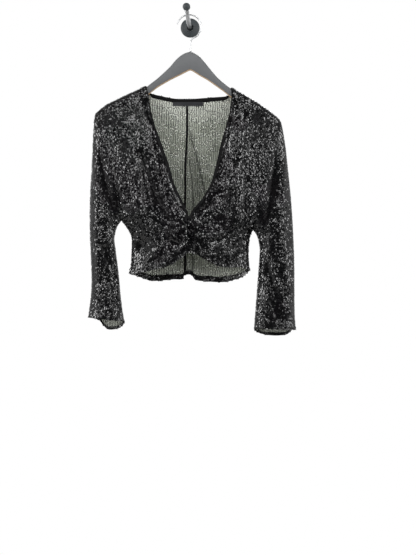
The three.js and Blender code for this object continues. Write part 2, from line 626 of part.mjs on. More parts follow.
function hanger() {
  const points = [];
  for (const { x, top, bottom, half } of HANGER) {
    for (const degrees of BAR_DEGREES) {
      const angle = THREE.MathUtils.degToRad(degrees);
      const round = Math.min(half, (top - bottom) / 2);
      const centre = degrees <= 180 ? top - round : bottom + round;
      points.push(new THREE.Vector3(x, PLANE_Y + half * Math.cos(angle), centre + round * Math.sin(angle)));
    }
  }
  return loftGeometry(points, BAR_DEGREES.length);
}

// A closed bar from rings of points, capped at both ends.
function loftGeometry(points, count) {
  const rings = points.length / count;
  const index = [];
  for (let i = 0; i < rings - 1; i += 1) {
    for (let j = 0; j < count; j += 1) {
      const a = i * count + j;
      const b = i * count + ((j + 1) % count);
      index.push(a, b, b + count, a, b + count, a + count);
    }
  }
  const last = (rings - 1) * count;
  for (let j = 1; j < count - 1; j += 1) {
    index.push(0, j + 1, j, last, last + j, last + j + 1);
  }
  return closedGeometry(points, index);
}

// A round bar along a curve.
function barGeometry(path, radius, sides, steps) {
  const section = new THREE.Shape(Array.from({ length: sides }, (_, i) => {
    const angle = (2 * Math.PI * i) / sides;
    return new THREE.Vector2(radius * Math.cos(angle), radius * Math.sin(angle));
  }));
  const geometry = new THREE.ExtrudeGeometry(section, { steps, extrudePath: path, curveSegments: 1 });
  geometry.deleteAttribute('normal');
  geometry.deleteAttribute('uv');
  const merged = mergeVertices(geometry, 1e-4);
  merged.computeVertexNormals();
  return merged;
}

// Wall hook: a round plate, a peg that curves up, and a ball on its end.
const PLATE = { radius: 23, rim: 3.5, thick: 9, boss: 8 };
const PEG = { radius: 5.5, reach: 80, rise: 22.5, lean: -6.5, power: 2.4 };
const BALL = { radius: 9, seat: 5 };

function pegPoint(reach) {
  const share = reach / PEG.reach;
  return new THREE.Vector3(PEG.lean * share, -reach, PEG.rise * share ** PEG.power);
}

function wallPlate() {
  const profile = [
    [0, 0], [PLATE.radius, 0], [PLATE.radius, PLATE.rim], [PLATE.radius - 2, PLATE.rim + 2],
    [PLATE.boss + 4, PLATE.thick - 1], [PLATE.boss, PLATE.thick], [0, PLATE.thick],
  ].map(([radius, height]) => new THREE.Vector2(radius, height));
  return cleanLathe(profile, 32).rotateX(Math.PI);
}

// A turned piece around Y whose doubled points on the axis and at the joint are merged.
function cleanLathe(profile, segments) {
  const lathe = new THREE.LatheGeometry(profile, segments);
  lathe.deleteAttribute('normal');
  lathe.deleteAttribute('uv');
  const merged = mergeVertices(lathe, 1e-4);
  const { array } = merged.index;
  const points = Array.from({ length: merged.attributes.position.count }, (_, i) =>
    new THREE.Vector3().fromBufferAttribute(merged.attributes.position, i));
  const index = [];
  for (let i = 0; i < array.length; i += 3) {
    const [a, b, c] = [array[i], array[i + 1], array[i + 2]];
    if (a !== b && b !== c && c !== a) {
      index.push(a, b, c);
    }
  }
  return closedGeometry(points, index);
}

function peg() {
  const steps = 10;
  const start = PLATE.thick + SEAM_GAP + 0.45;
  const points = Array.from({ length: steps + 1 }, (_, i) =>
    pegPoint(THREE.MathUtils.lerp(start, PEG.reach, i / steps)));
  points.unshift(points[0].clone().setY(-start));
  points.splice(1, 1);
  return barGeometry(new THREE.CatmullRomCurve3(points), PEG.radius, 14, 12);
}

function ball() {
  const turn = Math.asin(BALL.seat / BALL.radius);
  const low = BALL.radius * Math.cos(turn);
  const arc = Array.from({ length: 11 }, (_, i) => {
    const angle = THREE.MathUtils.lerp(turn, Math.PI, i / 10);
    return new THREE.Vector2(i === 10 ? 0 : BALL.radius * Math.sin(angle), low - BALL.radius * Math.cos(angle));
  });
  return cleanLathe([new THREE.Vector2(0, 0), ...arc], 20);
}

// The hanger's wire hook: a stem, a bend to one side and most of a circle over the peg.
const WIRE = { radius: 1.6, ring: 28.4, x: -1.2, z: -11.3, start: -72, end: 168, stemX: 1.8, foot: -70.6 };

function wireHook() {
  const points = [];
  for (const z of [WIRE.foot, -62, -52]) {
    points.push(new THREE.Vector3(WIRE.stemX, PLANE_Y, z));
  }
  points.push(new THREE.Vector3(WIRE.stemX + 1.6, PLANE_Y, -44.5));
  for (let degrees = WIRE.start; degrees <= WIRE.end; degrees += 12) {
    const angle = THREE.MathUtils.degToRad(degrees);
    points.push(new THREE.Vector3(
      WIRE.x + WIRE.ring * Math.cos(angle), PLANE_Y, WIRE.z + WIRE.ring * Math.sin(angle),
    ));
  }
  return barGeometry(new THREE.CatmullRomCurve3(points, false, 'centripetal'), WIRE.radius, 8, 44);
}

const blouse = new THREE.Group();

function addPiece(name, geometry, material, parent = blouse) {
  const mesh = new THREE.Mesh(geometry, material);
  mesh.name = name;
  parent.add(mesh);
  return mesh;
}

for (const [name, shape] of Object.entries(shapes)) {
  addPiece(`front_${name}`, frontPanel(shape), materials.sequins);
  addPiece(`neck_band_${name}`, neckBand(shape), materials.binding);
  addPiece(`back_${name}`, backPanel(shape), materials.sequins);
  addPiece(`sleeve_${name}`, sleeve(shape), materials.sequins);
}
addPiece('back_neck_band', backNeckBand(), materials.binding);
addPiece('label', label(), materials.satin);
addPiece('knot', knot(), materials.sequins);

const stand = new THREE.Group();
blouse.add(stand);
addPiece('hanger', hanger(), materials.paint, stand);
addPiece('hanger_hook', wireHook(), materials.wire, stand);
addPiece('wall_plate', wallPlate(), materials.plate, stand);
addPiece('peg', peg(), materials.wire, stand);
const ballMesh = addPiece('peg_ball', ball(), materials.plate, stand);
const pegEnd = pegPoint(PEG.reach);
const pegWay = pegEnd.clone().sub(pegPoint(PEG.reach - 1)).normalize();
ballMesh.position.copy(pegEnd).addScaledVector(pegWay, SEAM_GAP);
ballMesh.quaternion.setFromUnitVectors(new THREE.Vector3(0, 1, 0), pegWay);

export default blouse;
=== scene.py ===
"""The looks of a cropped sequin blouse with a knotted front, on a hanger on a small wall hook.

Sizes are millimetres, as in the part, and become metres where a mesh is made. +Z is up, the wall
is the plane Y = 0 and +Y goes into it. "Left" is -X, as the blouse is seen from the room.
"""
import logging
import math
from collections.abc import Sequence
from dataclasses import dataclass, field, replace
from enum import Enum

import bpy
import numpy as np
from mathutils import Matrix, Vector


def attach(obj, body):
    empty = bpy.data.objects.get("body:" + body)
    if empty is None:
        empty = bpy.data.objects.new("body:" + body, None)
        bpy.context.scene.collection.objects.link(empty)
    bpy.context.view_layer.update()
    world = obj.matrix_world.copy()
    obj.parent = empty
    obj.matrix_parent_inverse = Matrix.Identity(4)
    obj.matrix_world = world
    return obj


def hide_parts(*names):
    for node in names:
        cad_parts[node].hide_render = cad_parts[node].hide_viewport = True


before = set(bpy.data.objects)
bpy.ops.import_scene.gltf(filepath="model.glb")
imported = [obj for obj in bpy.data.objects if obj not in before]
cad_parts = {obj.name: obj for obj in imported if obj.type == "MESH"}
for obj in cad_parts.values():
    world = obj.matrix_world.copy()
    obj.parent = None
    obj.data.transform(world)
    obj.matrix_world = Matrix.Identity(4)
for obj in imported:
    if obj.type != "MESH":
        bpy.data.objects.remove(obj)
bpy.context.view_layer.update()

log = logging.getLogger("blouse")

Array = np.ndarray
Table = dict[str, np.ndarray]

MM = 0.001
CLOTH = 1.2  # thickness of the mesh that the sequins are sewn to
PLANE_Y = -55.0  # the hanger's middle plane
SEAM_GAP = 0.3
BAND_GAP = 0.4
CENTRE_X = -2.0
CENTRE_BACK = (-6.0, -11.8, 0.6)  # the seam at the top and below, and the share over which it leans
CLOTH_RADIUS = 8.4
BAND_WIDTH = 13.0
NECK_BAND_HEIGHT = 7.0
V_BOTTOM = 0.76
UNDERARM_CLOSING = 120.0
TROUGH_POWER = 1.4  # a trough comes to more of a crease than a ridge, which has 2
SEED = 7
KEY_STEP = 4096  # more than the places in any row of discs


class Region(Enum):
    """The two layers of the blouse."""

    FRONT = -1
    BACK = 1


def table(columns: str, *rows: Sequence[float]) -> Table:
    """Turns rows of numbers into named columns.

    Args:
        columns: The columns' names, with spaces between them.
        rows: One sequence of numbers for each row.

    Returns:
        One array for each column, by its name.
    """
    return dict(zip(columns.split(), np.array(rows, float).T))


def smooth(low: float, high: float, value: Array) -> Array:
    """Smooth step from 0 at low to 1 at high."""
    t = np.clip((value - low) / (high - low), 0, 1)
    return t * t * (3 - 2 * t)


def mix(a: Array, b: Array, t: Array) -> Array:
    """Straight blend from a to b."""
    return a + (b - a) * t


def unit(vectors: Array) -> Array:
    """Vectors of length 1 with the same directions."""
    return vectors / np.maximum(np.linalg.norm(vectors, axis=-1, keepdims=True), 1e-12)


def curve(rows: Table, key: str, column: str, at: Array) -> Array:
    """Reads a smooth curve through a table.

    Args:
        rows: The table, sorted by its key column either way.
        key: The name of the column to look up in.
        column: The name of the column to read.
        at: The places along the key column.

    Returns:
        The column's value at each place, held at the ends.
    """
    k, y = rows[key], rows[column]
    before = np.maximum(np.arange(len(k)) - 1, 0)
    after = np.minimum(np.arange(len(k)) + 1, len(k) - 1)
    slope = (y[after] - y[before]) / (k[after] - k[before])
    way = 1.0 if k[-1] > k[0] else -1.0
    i = np.clip(np.searchsorted(way * k, way * np.asarray(at, float)) - 1, 0, len(k) - 2)
    span = k[i + 1] - k[i]
    t = np.clip((at - k[i]) / span, 0, 1)
    t2, t3 = t**2, t**3
    ends = (2 * t3 - 3 * t2 + 1) * y[i] + (3 * t2 - 2 * t3) * y[i + 1]
    return ends + (t3 - 2 * t2 + t) * span * slope[i] + (t3 - t2) * span * slope[i + 1]


@dataclass(frozen=True)
class Side:
    """The outline of one side of the blouse, as seen from the front.

    Attributes:
        name: Its name in the pieces' names.
        sign: The sign of its x.
        underarm_z: Height of the underarm.
        neck_u: Share of the back's width at which the neck ends.
        cuff: Shares of the cuff's width between which the back layer's drop fades out.
        shoulder: The line where the cloth lies over the hanger.
        outer: The armhole, then the side seam.
        front: The V edge and the centre line, with the side seam's height beside each place.
        front_hem: The front's lower edge.
        back_top: The back's upper edge.
        back_hem: The back's lower edge.
        back_side: Heights down the back's side seam.
        sleeve: The sleeve's outer and inner edges, its depth to the front and back, the drop of
            its back layer and how far it has left the armhole's form.
    """

    name: str
    sign: int
    underarm_z: float
    neck_u: float
    cuff: tuple[float, float]
    shoulder: Table
    outer: Table
    front: Table
    front_hem: Table
    back_top: Table
    back_hem: Table
    back_side: Table
    sleeve: Table

    @property
    def top_z(self) -> float:
        """Height of the shoulder's outer end."""
        return self.outer["z"][0]

    def shoulder_z(self, x: Array) -> Array:
        """Height of the line where the cloth lies over the hanger."""
        return curve(self.shoulder, "x", "z", x)

    def outer_x(self, z: Array) -> Array:
        """The armhole above the underarm, and the side seam below it."""
        return curve(self.outer, "z", "x", z)


LEFT = Side(
    name="left", sign=-1, underarm_z=-466.5, neck_u=0.47, cuff=(0.45, 0.85),
    shoulder=table("x z", [-60, -131.5], [-102, -151.2], [-145, -170.5], [-195, -194.5]),
    outer=table(
        "z x", [-194.5, -195], [-280, -186], [-370, -175], [-440, -165], [-466.5, -160.8],
        [-481, -150.2], [-495, -141], [-509, -136.3], [-550, -137], [-575, -138.6], [-594, -144]),
    front=table(
        "v x z side_z", [0, -102, -151.2, -194.5], [0.03, -100, -160, -203], [0.1, -95.4, -178, -226],
        [0.2, -91, -211, -258], [0.3, -81.5, -247, -292], [0.4, -66, -289, -330],
        [0.5, -49, -338, -371], [0.6, -35.5, -386, -413], [0.68, -18.5, -420, -446],
        [0.74, -5, -449, -466.5], [0.76, -1.4, -461, -475], [0.88, 0.8, -502, -530],
        [1, 3.3, -543.5, -592]),
    front_hem=table(
        "u z", [0, -543.5], [0.05, -546], [0.11, -552], [0.19, -561], [0.28, -569.5],
        [0.45, -579], [0.62, -584.5], [0.8, -590.5], [1, -592]),
    back_top=table(
        "u dx z", [0, 0, -182.6], [0.16, 0, -180.5], [0.33, 0, -174.3], [0.44, 0, -169.3],
        [0.475, -2, -164.5], [0.5, -2, -157], [0.52, 0, -152.4], [0.7, 0, -168.6], [1, 0, -194.5]),
    back_hem=table(
        "u z", [0, -595.5], [0.015, -597.5], [0.04, -605.5], [0.2, -606.5], [0.45, -609.5],
        [0.62, -610], [0.75, -604], [0.9, -597], [1, -592]),
    back_side=table(
        "v z", [0, -194.5], [0.05, -206], [0.16, -240], [0.4, -335], [0.68, -466.5], [0.75, -495],
        [1, -592]),
    sleeve=table(
        "k ox oz ix iz front back drop blend",
        [0, -195, -194.5, -160.8, -466.5, 24, 22, 0, 0],
        [1, -211, -207, -162.2, -468, 24, 22, 0, 0.12],
        [2, -222, -219, -164, -470.5, 24, 22, 0, 0.3],
        [3, -225.5, -242, -166.5, -474, 24, 22, 0, 0.55],
        [4, -228, -290, -171.5, -481.5, 24, 21, 0, 0.8],
        [5, -230.3, -345, -176, -495, 23, 20, 0, 1],
        [6, -233.5, -398, -178.5, -511, 22, 19, 0, 1],
        [7, -235, -450, -176.5, -530, 21, 19, 0, 1],
        [8, -234.6, -500, -173.5, -552, 20, 18, 0, 1],
        [9, -232.5, -548, -170.2, -578, 20, 18, 0, 1],
        [10, -230.5, -596, -167, -607, 20, 18, 0, 1],
        [11, -231.4, -638, -164, -641, 21, 19, 1, 1],
        [12, -235, -670, -160, -675, 22, 20, 8, 1],
        [13, -238.5, -696, -155, -705, 23, 21, 25, 1]),
)

RIGHT = Side(
    name="right", sign=1, underarm_z=-487.7, neck_u=0.51, cuff=(0.8, 1),
    shoulder=table("x z", [60, -132.5], [97, -154.6], [137, -177], [163, -193.2], [186, -209.2]),
    outer=table(
        "z x", [-209.2, 186], [-290, 176], [-380, 164], [-455, 153.5], [-487.7, 149],
        [-497, 145], [-506, 141.6], [-530, 138.8], [-555, 138.4], [-575, 139.8], [-590, 141.4]),
    front=table(
        "v x z side_z", [0, 97, -154.6, -209.2], [0.03, 98, -163.6, -218], [0.1, 97.6, -182, -240],
        [0.2, 94, -213, -272], [0.3, 85, -249, -306], [0.4, 73.5, -288, -344],
        [0.5, 61.5, -342, -385], [0.6, 47, -388, -427], [0.68, 27, -422, -460],
        [0.74, 5.5, -447, -487.7], [0.76, -1.4, -461, -497], [0.88, 0.8, -502, -542],
        [1, 3.3, -543.5, -586]),
    front_hem=table(
        "u z", [0, -543.5], [0.05, -545], [0.13, -550.5], [0.25, -561], [0.36, -569],
        [0.48, -575.5], [0.66, -578.6], [0.85, -577.5], [1, -586]),
    back_top=table(
        "u dx z", [0, 0, -182.6], [0.19, 0, -179.6], [0.36, 0, -177], [0.48, 0, -174.8],
        [0.515, 2, -170], [0.54, 2, -161], [0.56, 0, -158.3], [0.75, 0, -181], [1, 0, -209.2]),
    back_hem=table(
        "u z", [0, -595.5], [0.1, -596], [0.15, -606.5], [0.19, -609], [0.3, -611],
        [0.6, -613], [0.78, -607], [0.9, -600], [1, -586]),
    back_side=table(
        "v z", [0, -209.2], [0.05, -221], [0.16, -255], [0.4, -350], [0.68, -487.7], [0.75, -509],
        [1, -586]),
    sleeve=table(
        "k ox oz ix iz front back drop blend",
        [0, 186, -209.2, 149, -487.7, 24, 22, 0, 0],
        [1, 200, -220.5, 150.2, -489.5, 24, 22, 0, 0.12],
        [2, 211, -231, 152, -492, 24, 22, 0, 0.3],
        [3, 217, -248, 154.5, -496, 24, 22, 0, 0.55],
        [4, 225, -296, 159.5, -505, 24, 21, 0, 0.8],
        [5, 230.8, -350, 163.8, -520, 23, 20, 0, 1],
        [6, 236.6, -405, 165.6, -538, 22, 19, 0, 1],
        [7, 240.8, -460, 164.6, -558, 21, 19, 0, 1],
        [8, 243.4, -510, 162.8, -582, 20, 18, 0, 1],
        [9, 245.4, -558, 160.8, -608, 20, 18, 0, 1],
        [10, 245.8, -606, 159, -634, 20, 18, 0, 1],
        [11, 246, -650, 156.6, -664, 21, 19, 0, 1],
        [12, 246.6, -690, 154, -696, 22, 20, 5, 1],
        [13, 249, -724, 152.4, -722, 23, 21, 17, 1]),
)

# Depth of front and back from the middle plane, by the distance below the shoulder line.
DEPTHS = {
    Region.FRONT: table(
        "fall centre armhole", [0, 8.4, 8.4], [20, 9.4, 10], [60, 13, 16], [120, 20, 22],
        [200, 28, 26], [300, 33, 27], [460, 33, 28]),
    Region.BACK: table(
        "fall centre armhole", [0, 8.4, 8.4], [20, 9.2, 10], [60, 14, 15], [120, 21, 20],
        [200, 26, 23], [300, 30, 24], [460, 31, 25]),
}

# A soft ridge, or a trough where height is negative, from one point to another as seen from the
# room, bowed sideways by bend, with the width at either end.
FOLD_COLUMNS = "x0 z0 x1 z1 bend height w0 w1"
FOLDS = {
    Region.FRONT: table(
        FOLD_COLUMNS,
        # the part's own
        [-183, -238, -127, -382, 0, 5.5, 16, 12], [-127, -368, -90, -510, 4, 5, 10, 6],
        [-208, -317, -173, -466, 2, -6.5, 12, 10], [-219, -352, -215, -561, 2, 4, 8, 8],
        [-90, -225, -66, -387, 0, -5, 7, 9], [-108, -330, -28, -505, 9, -4.5, 9, 7],
        [-122, -532, -58, -566, 3, -3.5, 12, 9], [-48, -516, -14, -528, 0, -5, 9, 8],
        [-98, -472, -30, -500, 6, 4, 7, 5], [164, -212, 157, -371, -4, 5.5, 13, 11],
        [159, -375, 124, -515, -6, 4.5, 8, 7], [201, -292, 173, -496, -3, -6.5, 12, 12],
        [220, -340, 224, -566, 2, 4.5, 8, 9], [129, -205, 110, -352, -2, -5, 7, 6],
        [96, -395, 92, -462, 0, -5, 9, 10], [54, -548, 134, -487, 6, 5, 7, 8],
        [44, -520, 110, -480, 7, -4.5, 6, 7], [16, -470, 56, -428, -4, -4.5, 8, 8],
        [20, -506, 84, -500, 5, 4, 5, 7],
        # left shoulder and chest
        [-194, -226, -180, -259, 0, 1.2, 14, 16], [-157, -282, -143, -357, 0, 1.2, 12, 9],
        [-122, -203, -113, -305, 0, 2, 4, 5], [-136, -240, -124, -296, 0, -2.5, 5, 5],
        [-101, -217, -87, -305, 0, -2.5, 7, 7], [-92, -264, -73, -357, 0, 2, 4, 4],
        [-111, -305, -101, -371, 0, -1.4, 5, 6], [-62, -329, -27, -422, 2, -3.5, 7, 7],
        [-113, -340, -92, -433, 2, -1.6, 7, 7], [-90, -398, -45, -505, 9, -2.2, 9, 12],
        [-50, -389, -24, -450, 0, 2, 4, 4], [-73, -371, -41, -454, 2, 2, 4, 4],
        [-108, -347, -94, -422, 0, 1.5, 3, 3], [-157, -189, -143, -217, 0, -2.5, 12, 12],
        [-218, -259, -208, -305, 0, -2, 7, 7],
        # underarm and waist, left
        [-166, -398, -152, -454, 2, -3, 7, 7], [-166, -329, -155, -398, 2, 2, 7, 7],
        [-124, -422, -113, -473, 2, 2, 4, 4], [-99, -492, -64, -538, 2, 2, 4, 4],
        [-120, -515, -92, -547, 0, -5, 14, 14], [-41, -505, -8, -482, 0, 1.5, 4, 3],
        [-59, -496, -41, -538, 9, 2, 4, 4], [-36, -547, -8, -515, 5, 1.5, 4, 3],
        [-92, -454, -17, -482, 5, 1.5, 4, 3],
        # right shoulder and chest
        [108, -198, 96, -329, 0, 2, 4, 4], [96, -333, 76, -422, -2, 2, 4, 4],
        [117, -310, 108, -398, 0, -3, 6, 6], [138, -217, 131, -250, 0, -3, 7, 7],
        [171, -217, 166, -329, 0, 0.8, 12, 12], [178, -329, 171, -357, 0, 1, 7, 7],
        [131, -282, 124, -357, 0, 2.4, 5, 5], [120, -343, 113, -454, 0, 2.5, 5, 5],
        [134, -371, 127, -459, 0, -2.5, 6, 6], [71, -422, 52, -468, 0, 2.5, 5, 5],
        [103, -329, 90, -394, 0, -2, 4, 5], [145, -236, 141, -305, 0, -2, 4, 4],
        # right waist and gathers
        [103, -552, 134, -524, 3, 2.5, 5, 5], [76, -529, 113, -487, 5, 2, 4, 4],
        [43, -538, 99, -547, 5, 2, 4, 4], [24, -524, 57, -547, 3, -2, 4, 4],
        [24, -496, 76, -482, 2, 1.5, 3, 3], [24, -482, 57, -454, 0, 1.5, 3, 3],
        [29, -471, 85, -436, -2, -1.5, 3, 5],
        # sleeves, left then right
        [-199, -529, -185, -580, 2, -4.5, 9, 9], [-211, -398, -206, -515, 0, 2, 5, 5],
        [-208, -619, -171, -692, 2, 3, 14, 19], [-180, -580, -159, -682, 0, 2.4, 9, 9],
        [-231, -654, -227, -701, 0, -3, 6, 7], [-218, -515, -213, -654, 0, 2.2, 5, 5],
        [-171, -599, -166, -654, 0, 2.4, 5, 5], [180, -566, 210, -668, 2, -3.5, 7, 7],
        [173, -608, 187, -692, 0, 2.5, 5, 5], [194, -566, 220, -654, 2, 2, 4, 5],
        [229, -608, 236, -701, 0, 3, 6, 7], [220, -557, 229, -619, 0, 3.5, 7, 7],
        [169, -515, 173, -566, 0, -3, 7, 6], [192, -654, 210, -701, 0, -3, 7, 9],
        # broad slack between the folds
        [-87, -226, -50, -468, 5, -2.8, 26, 28], [-97, -510, -17, -505, 5, -0.6, 19, 21],
        [99, -231, 38, -450, -7, -2.4, 16, 19], [24, -505, 108, -538, 0, -1.2, 19, 19],
        # dark along the V, left then right
        [-106, -180, -90, -254, 2, -6, 12, 12], [-90, -247, -55, -343, 2, -6, 12, 12],
        [-59, -329, -22, -422, 2, -4.5, 9, 9], [108, -184, 94, -254, -2, -4.5, 9, 9],
        [94, -240, 71, -347, -2, -4.5, 9, 9], [66, -329, 34, -422, -2, -3, 9, 9],
        # slack at the foot of the left waist
        [-157, -482, -101, -538, 2, -4, 26, 21]),
    Region.BACK: table(
        FOLD_COLUMNS,
        # the part's own
        [8, -292, 34, -402, 3, -5, 6, 9], [0, -320, 8, -600, 3, -5, 6, 10],
        [-70, -330, -84, -600, 6, 6, 16, 22], [84, -330, 92, -600, -6, 6, 16, 22],
        [-150, -220, -170, -440, -6, 5.5, 12, 12], [150, -236, 160, -460, 6, 5.5, 12, 12],
        # finer ones
        [0.5, -250, 36, -402, 3, 1.2, 4, 4], [1, -318, 9, -430, 1, 1.2, 4, 4],
        [16, -290, 22, -410, 2, -3, 8, 9],
        [-40, -230, -54, -430, 5, 2.4, 9, 12], [-104, -240, -112, -420, -5, -3, 8, 11],
        [44, -420, 52, -600, -4, 2.6, 8, 12], [-34, -470, -40, -600, 3, -2.6, 8, 11],
        [112, -250, 118, -430, 5, -3, 8, 11], [62, -240, 74, -360, -4, 2.2, 9, 12],
        [-118, -470, -60, -452, 5, 2.6, 6, 9], [-128, -500, -40, -506, -6, -2.6, 6, 9],
        [120, -480, 50, -462, -5, 2.6, 6, 9], [128, -520, 44, -530, 6, -2.6, 6, 9],
        [-200, -300, -196, -470, 5, 3.6, 8, 9], [-218, -340, -210, -520, -4, -3.4, 8, 9],
        [-192, -480, -188, -660, 4, 3.4, 9, 10], [-214, -560, -212, -700, 3, 3, 8, 9],
        [-176, -600, -172, -720, -3, -3, 7, 9], [200, -320, 204, -480, -5, 3.6, 8, 9],
        [226, -350, 228, -540, 4, -3.4, 8, 9], [190, -500, 194, -680, -4, 3.4, 9, 10],
        [222, -580, 226, -720, 3, 3, 8, 9], [174, -620, 172, -726, 3, -3, 7, 9]),
}

# Painted shade: lines where the back's wrong side is creased, darkened in its colour as if by the
# creases' shadow, as seen from the room.
PAINTED_CREASE_SHADE = table(
    "x0 z0 x1 z1 width shade",
    [0.2, -254, 35.9, -400, 1.9, 0.95], [0.2, -323, 9.2, -430, 1.7, 0.85],
    [6.9, -394, 7.4, -442, 1.7, 0.9], [6.2, -541, 7.3, -589, 1.9, 0.9],
    [3, -262, 20, -404, 8, 0.34], [35.9, -400, 40, -424, 1.9, 0.7])

# Slackness of a thin knit: long shallow waves, their length, direction, shift and height.
RIPPLES = table(
    "length degrees shift height", [46, 12, 0.3, 0.5], [61, 74, 1.9, 0.6], [33, 131, 4.1, 0.35],
    [87, 48, 2.6, 0.7])


def fold_height(region: Region, x: Array, z: Array) -> Array:
    """How far points stand out by the folds that pass near them.

    Args:
        region: The layer whose folds count.
        x: Places across, in millimetres.
        z: Heights, in millimetres.

    Returns:
        The height of the cloth above its smooth form.
    """
    rows = FOLDS[region]
    total = np.zeros(np.broadcast(x, z).shape)
    for x0, z0, x1, z1, bend, height, w0, w1 in zip(*(rows[name] for name in FOLD_COLUMNS.split())):
        dx, dz = x1 - x0, z1 - z0
        length = math.hypot(dx, dz)
        t = ((x - x0) * dx + (z - z0) * dz) / length**2
        across = ((x - x0) * dz - (z - z0) * dx) / length
        inside = np.clip(t, 0, 1)
        bow = bend * 4 * inside * (1 - inside)
        ends = smooth(-0.1, 0.12, t) * (1 - smooth(0.7, 1.1, t))
        away = np.abs(across - bow) / mix(w0, w1, inside)
        total += height * ends * np.exp(-(away ** (2 if height > 0 else TROUGH_POWER)))
    return total


def crease_shade(x: Array, z: Array) -> Array:
    """How much painted shade darkens the back's wrong side at its creases, from 0 to 1."""
    total = np.zeros(np.broadcast(x, z).shape)
    for x0, z0, x1, z1, width, shade in zip(*PAINTED_CREASE_SHADE.values()):
        dx, dz = x1 - x0, z1 - z0
        length = math.hypot(dx, dz)
        t = np.clip(((x - x0) * dx + (z - z0) * dz) / length**2, 0, 1)
        away = np.hypot(x - x0 - t * dx, z - z0 - t * dz)
        total = np.maximum(total, shade * np.exp(-((away / width) ** 2)))
    return total


def ripple(x: Array, z: Array) -> Array:
    """Height of the knit's slack waves."""
    total = np.zeros(np.broadcast(x, z).shape)
    for length, degrees, shift, height in zip(*(RIPPLES[name] for name in RIPPLES)):
        way = math.radians(degrees)
        phase = 2 * math.pi * (x * math.cos(way) + z * math.sin(way)) / length + shift
        total += height * np.sin(phase) * np.sin(0.37 * phase + shift)
    return total


def body_depth(region: Region, x: Array, z: Array) -> Array:
    """Distance from the middle plane to the outside of the body's cloth."""
    parts = []
    for side in (LEFT, RIGHT):
        fall = np.maximum(side.shoulder_z(x) - z, 0)
        in_round = np.maximum(CLOTH_RADIUS - fall, 0)
        roll = np.sqrt(CLOTH_RADIUS**2 - in_round**2) / CLOTH_RADIUS
        edge = side.outer_x(z)
        across = np.clip((x - CENTRE_X) / (edge - CENTRE_X), 0, 1)
        centre = curve(DEPTHS[region], "fall", "centre", fall)
        armhole = curve(DEPTHS[region], "fall", "armhole", fall)
        closing = np.clip(1 - (z - side.underarm_z) / UNDERARM_CLOSING, 0, 1)
        open_share = np.sqrt(1 - closing**2)
        rounding = np.sqrt(np.maximum(1 - across**2.8, 0))
        keep = open_share + (1 - open_share) * rounding
        settle = smooth(10, 60, fall) * np.minimum(keep * 1.6, 1) * smooth(0, 0.35, keep)
        relief = (fold_height(region, x, z) + ripple(x, z)) * settle
        parts.append(roll * mix(centre, armhole, across**2) * keep + relief)
    return np.where(x < CENTRE_X, parts[0], parts[1])


def body_y(region: Region, x: Array, z: Array) -> Array:
    """Y of the outside of the body's cloth."""
    return PLANE_Y + region.value * (SEAM_GAP / 2 + body_depth(region, x, z))


def edge_rise(rows: Table, u: Array) -> Array:
    """Height that a shaped top or bottom edge adds to the rows between its two ends."""
    return curve(rows, "u", "z", u) - mix(rows["z"][0], rows["z"][-1], u)


def front_outline(side: Side, u: Array, v: Array) -> tuple[Array, Array]:
    """Place in a front, from the V edge to the side and from the shoulder to the hem.

    Args:
        side: The side of the blouse.
        u: 0 at the V edge and the centre line, 1 at the side.
        v: 0 at the shoulder, 1 at the hem.

    Returns:
        x and z.
    """
    neck = {name: column[side.front["v"] <= V_BOTTOM] for name, column in side.front.items()}
    centre = {name: column[side.front["v"] >= V_BOTTOM] for name, column in side.front.items()}
    inside_x = np.where(v < V_BOTTOM, curve(neck, "v", "x", v), curve(centre, "v", "x", v))
    side_z = curve(side.front, "v", "side_z", v)
    x = mix(inside_x, side.outer_x(side_z), u)
    first_x = mix(side.front["x"][0], side.outer["x"][0], u)
    shoulder = side.shoulder_z(first_x) - mix(side.front["z"][0], side.top_z, u)
    z = mix(curve(side.front, "v", "z", v), side_z, u)
    return x, z + shoulder * (1 - v) ** 3 + edge_rise(side.front_hem, u) * v**4


def centre_back(v: Array) -> Array:
    """The centre-back seam's place across, which leans to the left on its way down."""
    top, bottom, straight = CENTRE_BACK
    return mix(top, bottom, smooth(0, straight, v))


def back_outline(side: Side, u: Array, v: Array) -> tuple[Array, Array]:
    """Place in a back, from the centre-back seam to the side and from the top to the hem."""
    side_z = curve(side.back_side, "v", "z", v)
    centre_z = mix(side.back_top["z"][0], side.back_hem["z"][0], v)
    fade = (1 - v) ** 3
    x = mix(centre_back(v), side.outer_x(side_z), u) + curve(side.back_top, "u", "dx", u) * fade
    z = mix(centre_z, side_z, u) + edge_rise(side.back_top, u) * fade
    return x, z + edge_rise(side.back_hem, u) * v**6


def band_share(side: Side, v: Array, width: float) -> Array:
    """The share of a front's row that a band of a given width takes."""
    x0, z0 = front_outline(side, np.zeros_like(v), v)
    x1, z1 = front_outline(side, np.ones_like(v), v)
    return width / np.hypot(x1 - x0, z1 - z0)


def back_band_share(side: Side, u: Array, height: float) -> Array:
    """The share of a back's column that the neck band takes, nothing where the shoulder begins."""
    length = side.back_top["z"][0] - side.back_hem["z"][0]
    return (height / length) * (1 - smooth(side.neck_u - 0.035, side.neck_u + 0.03, u))


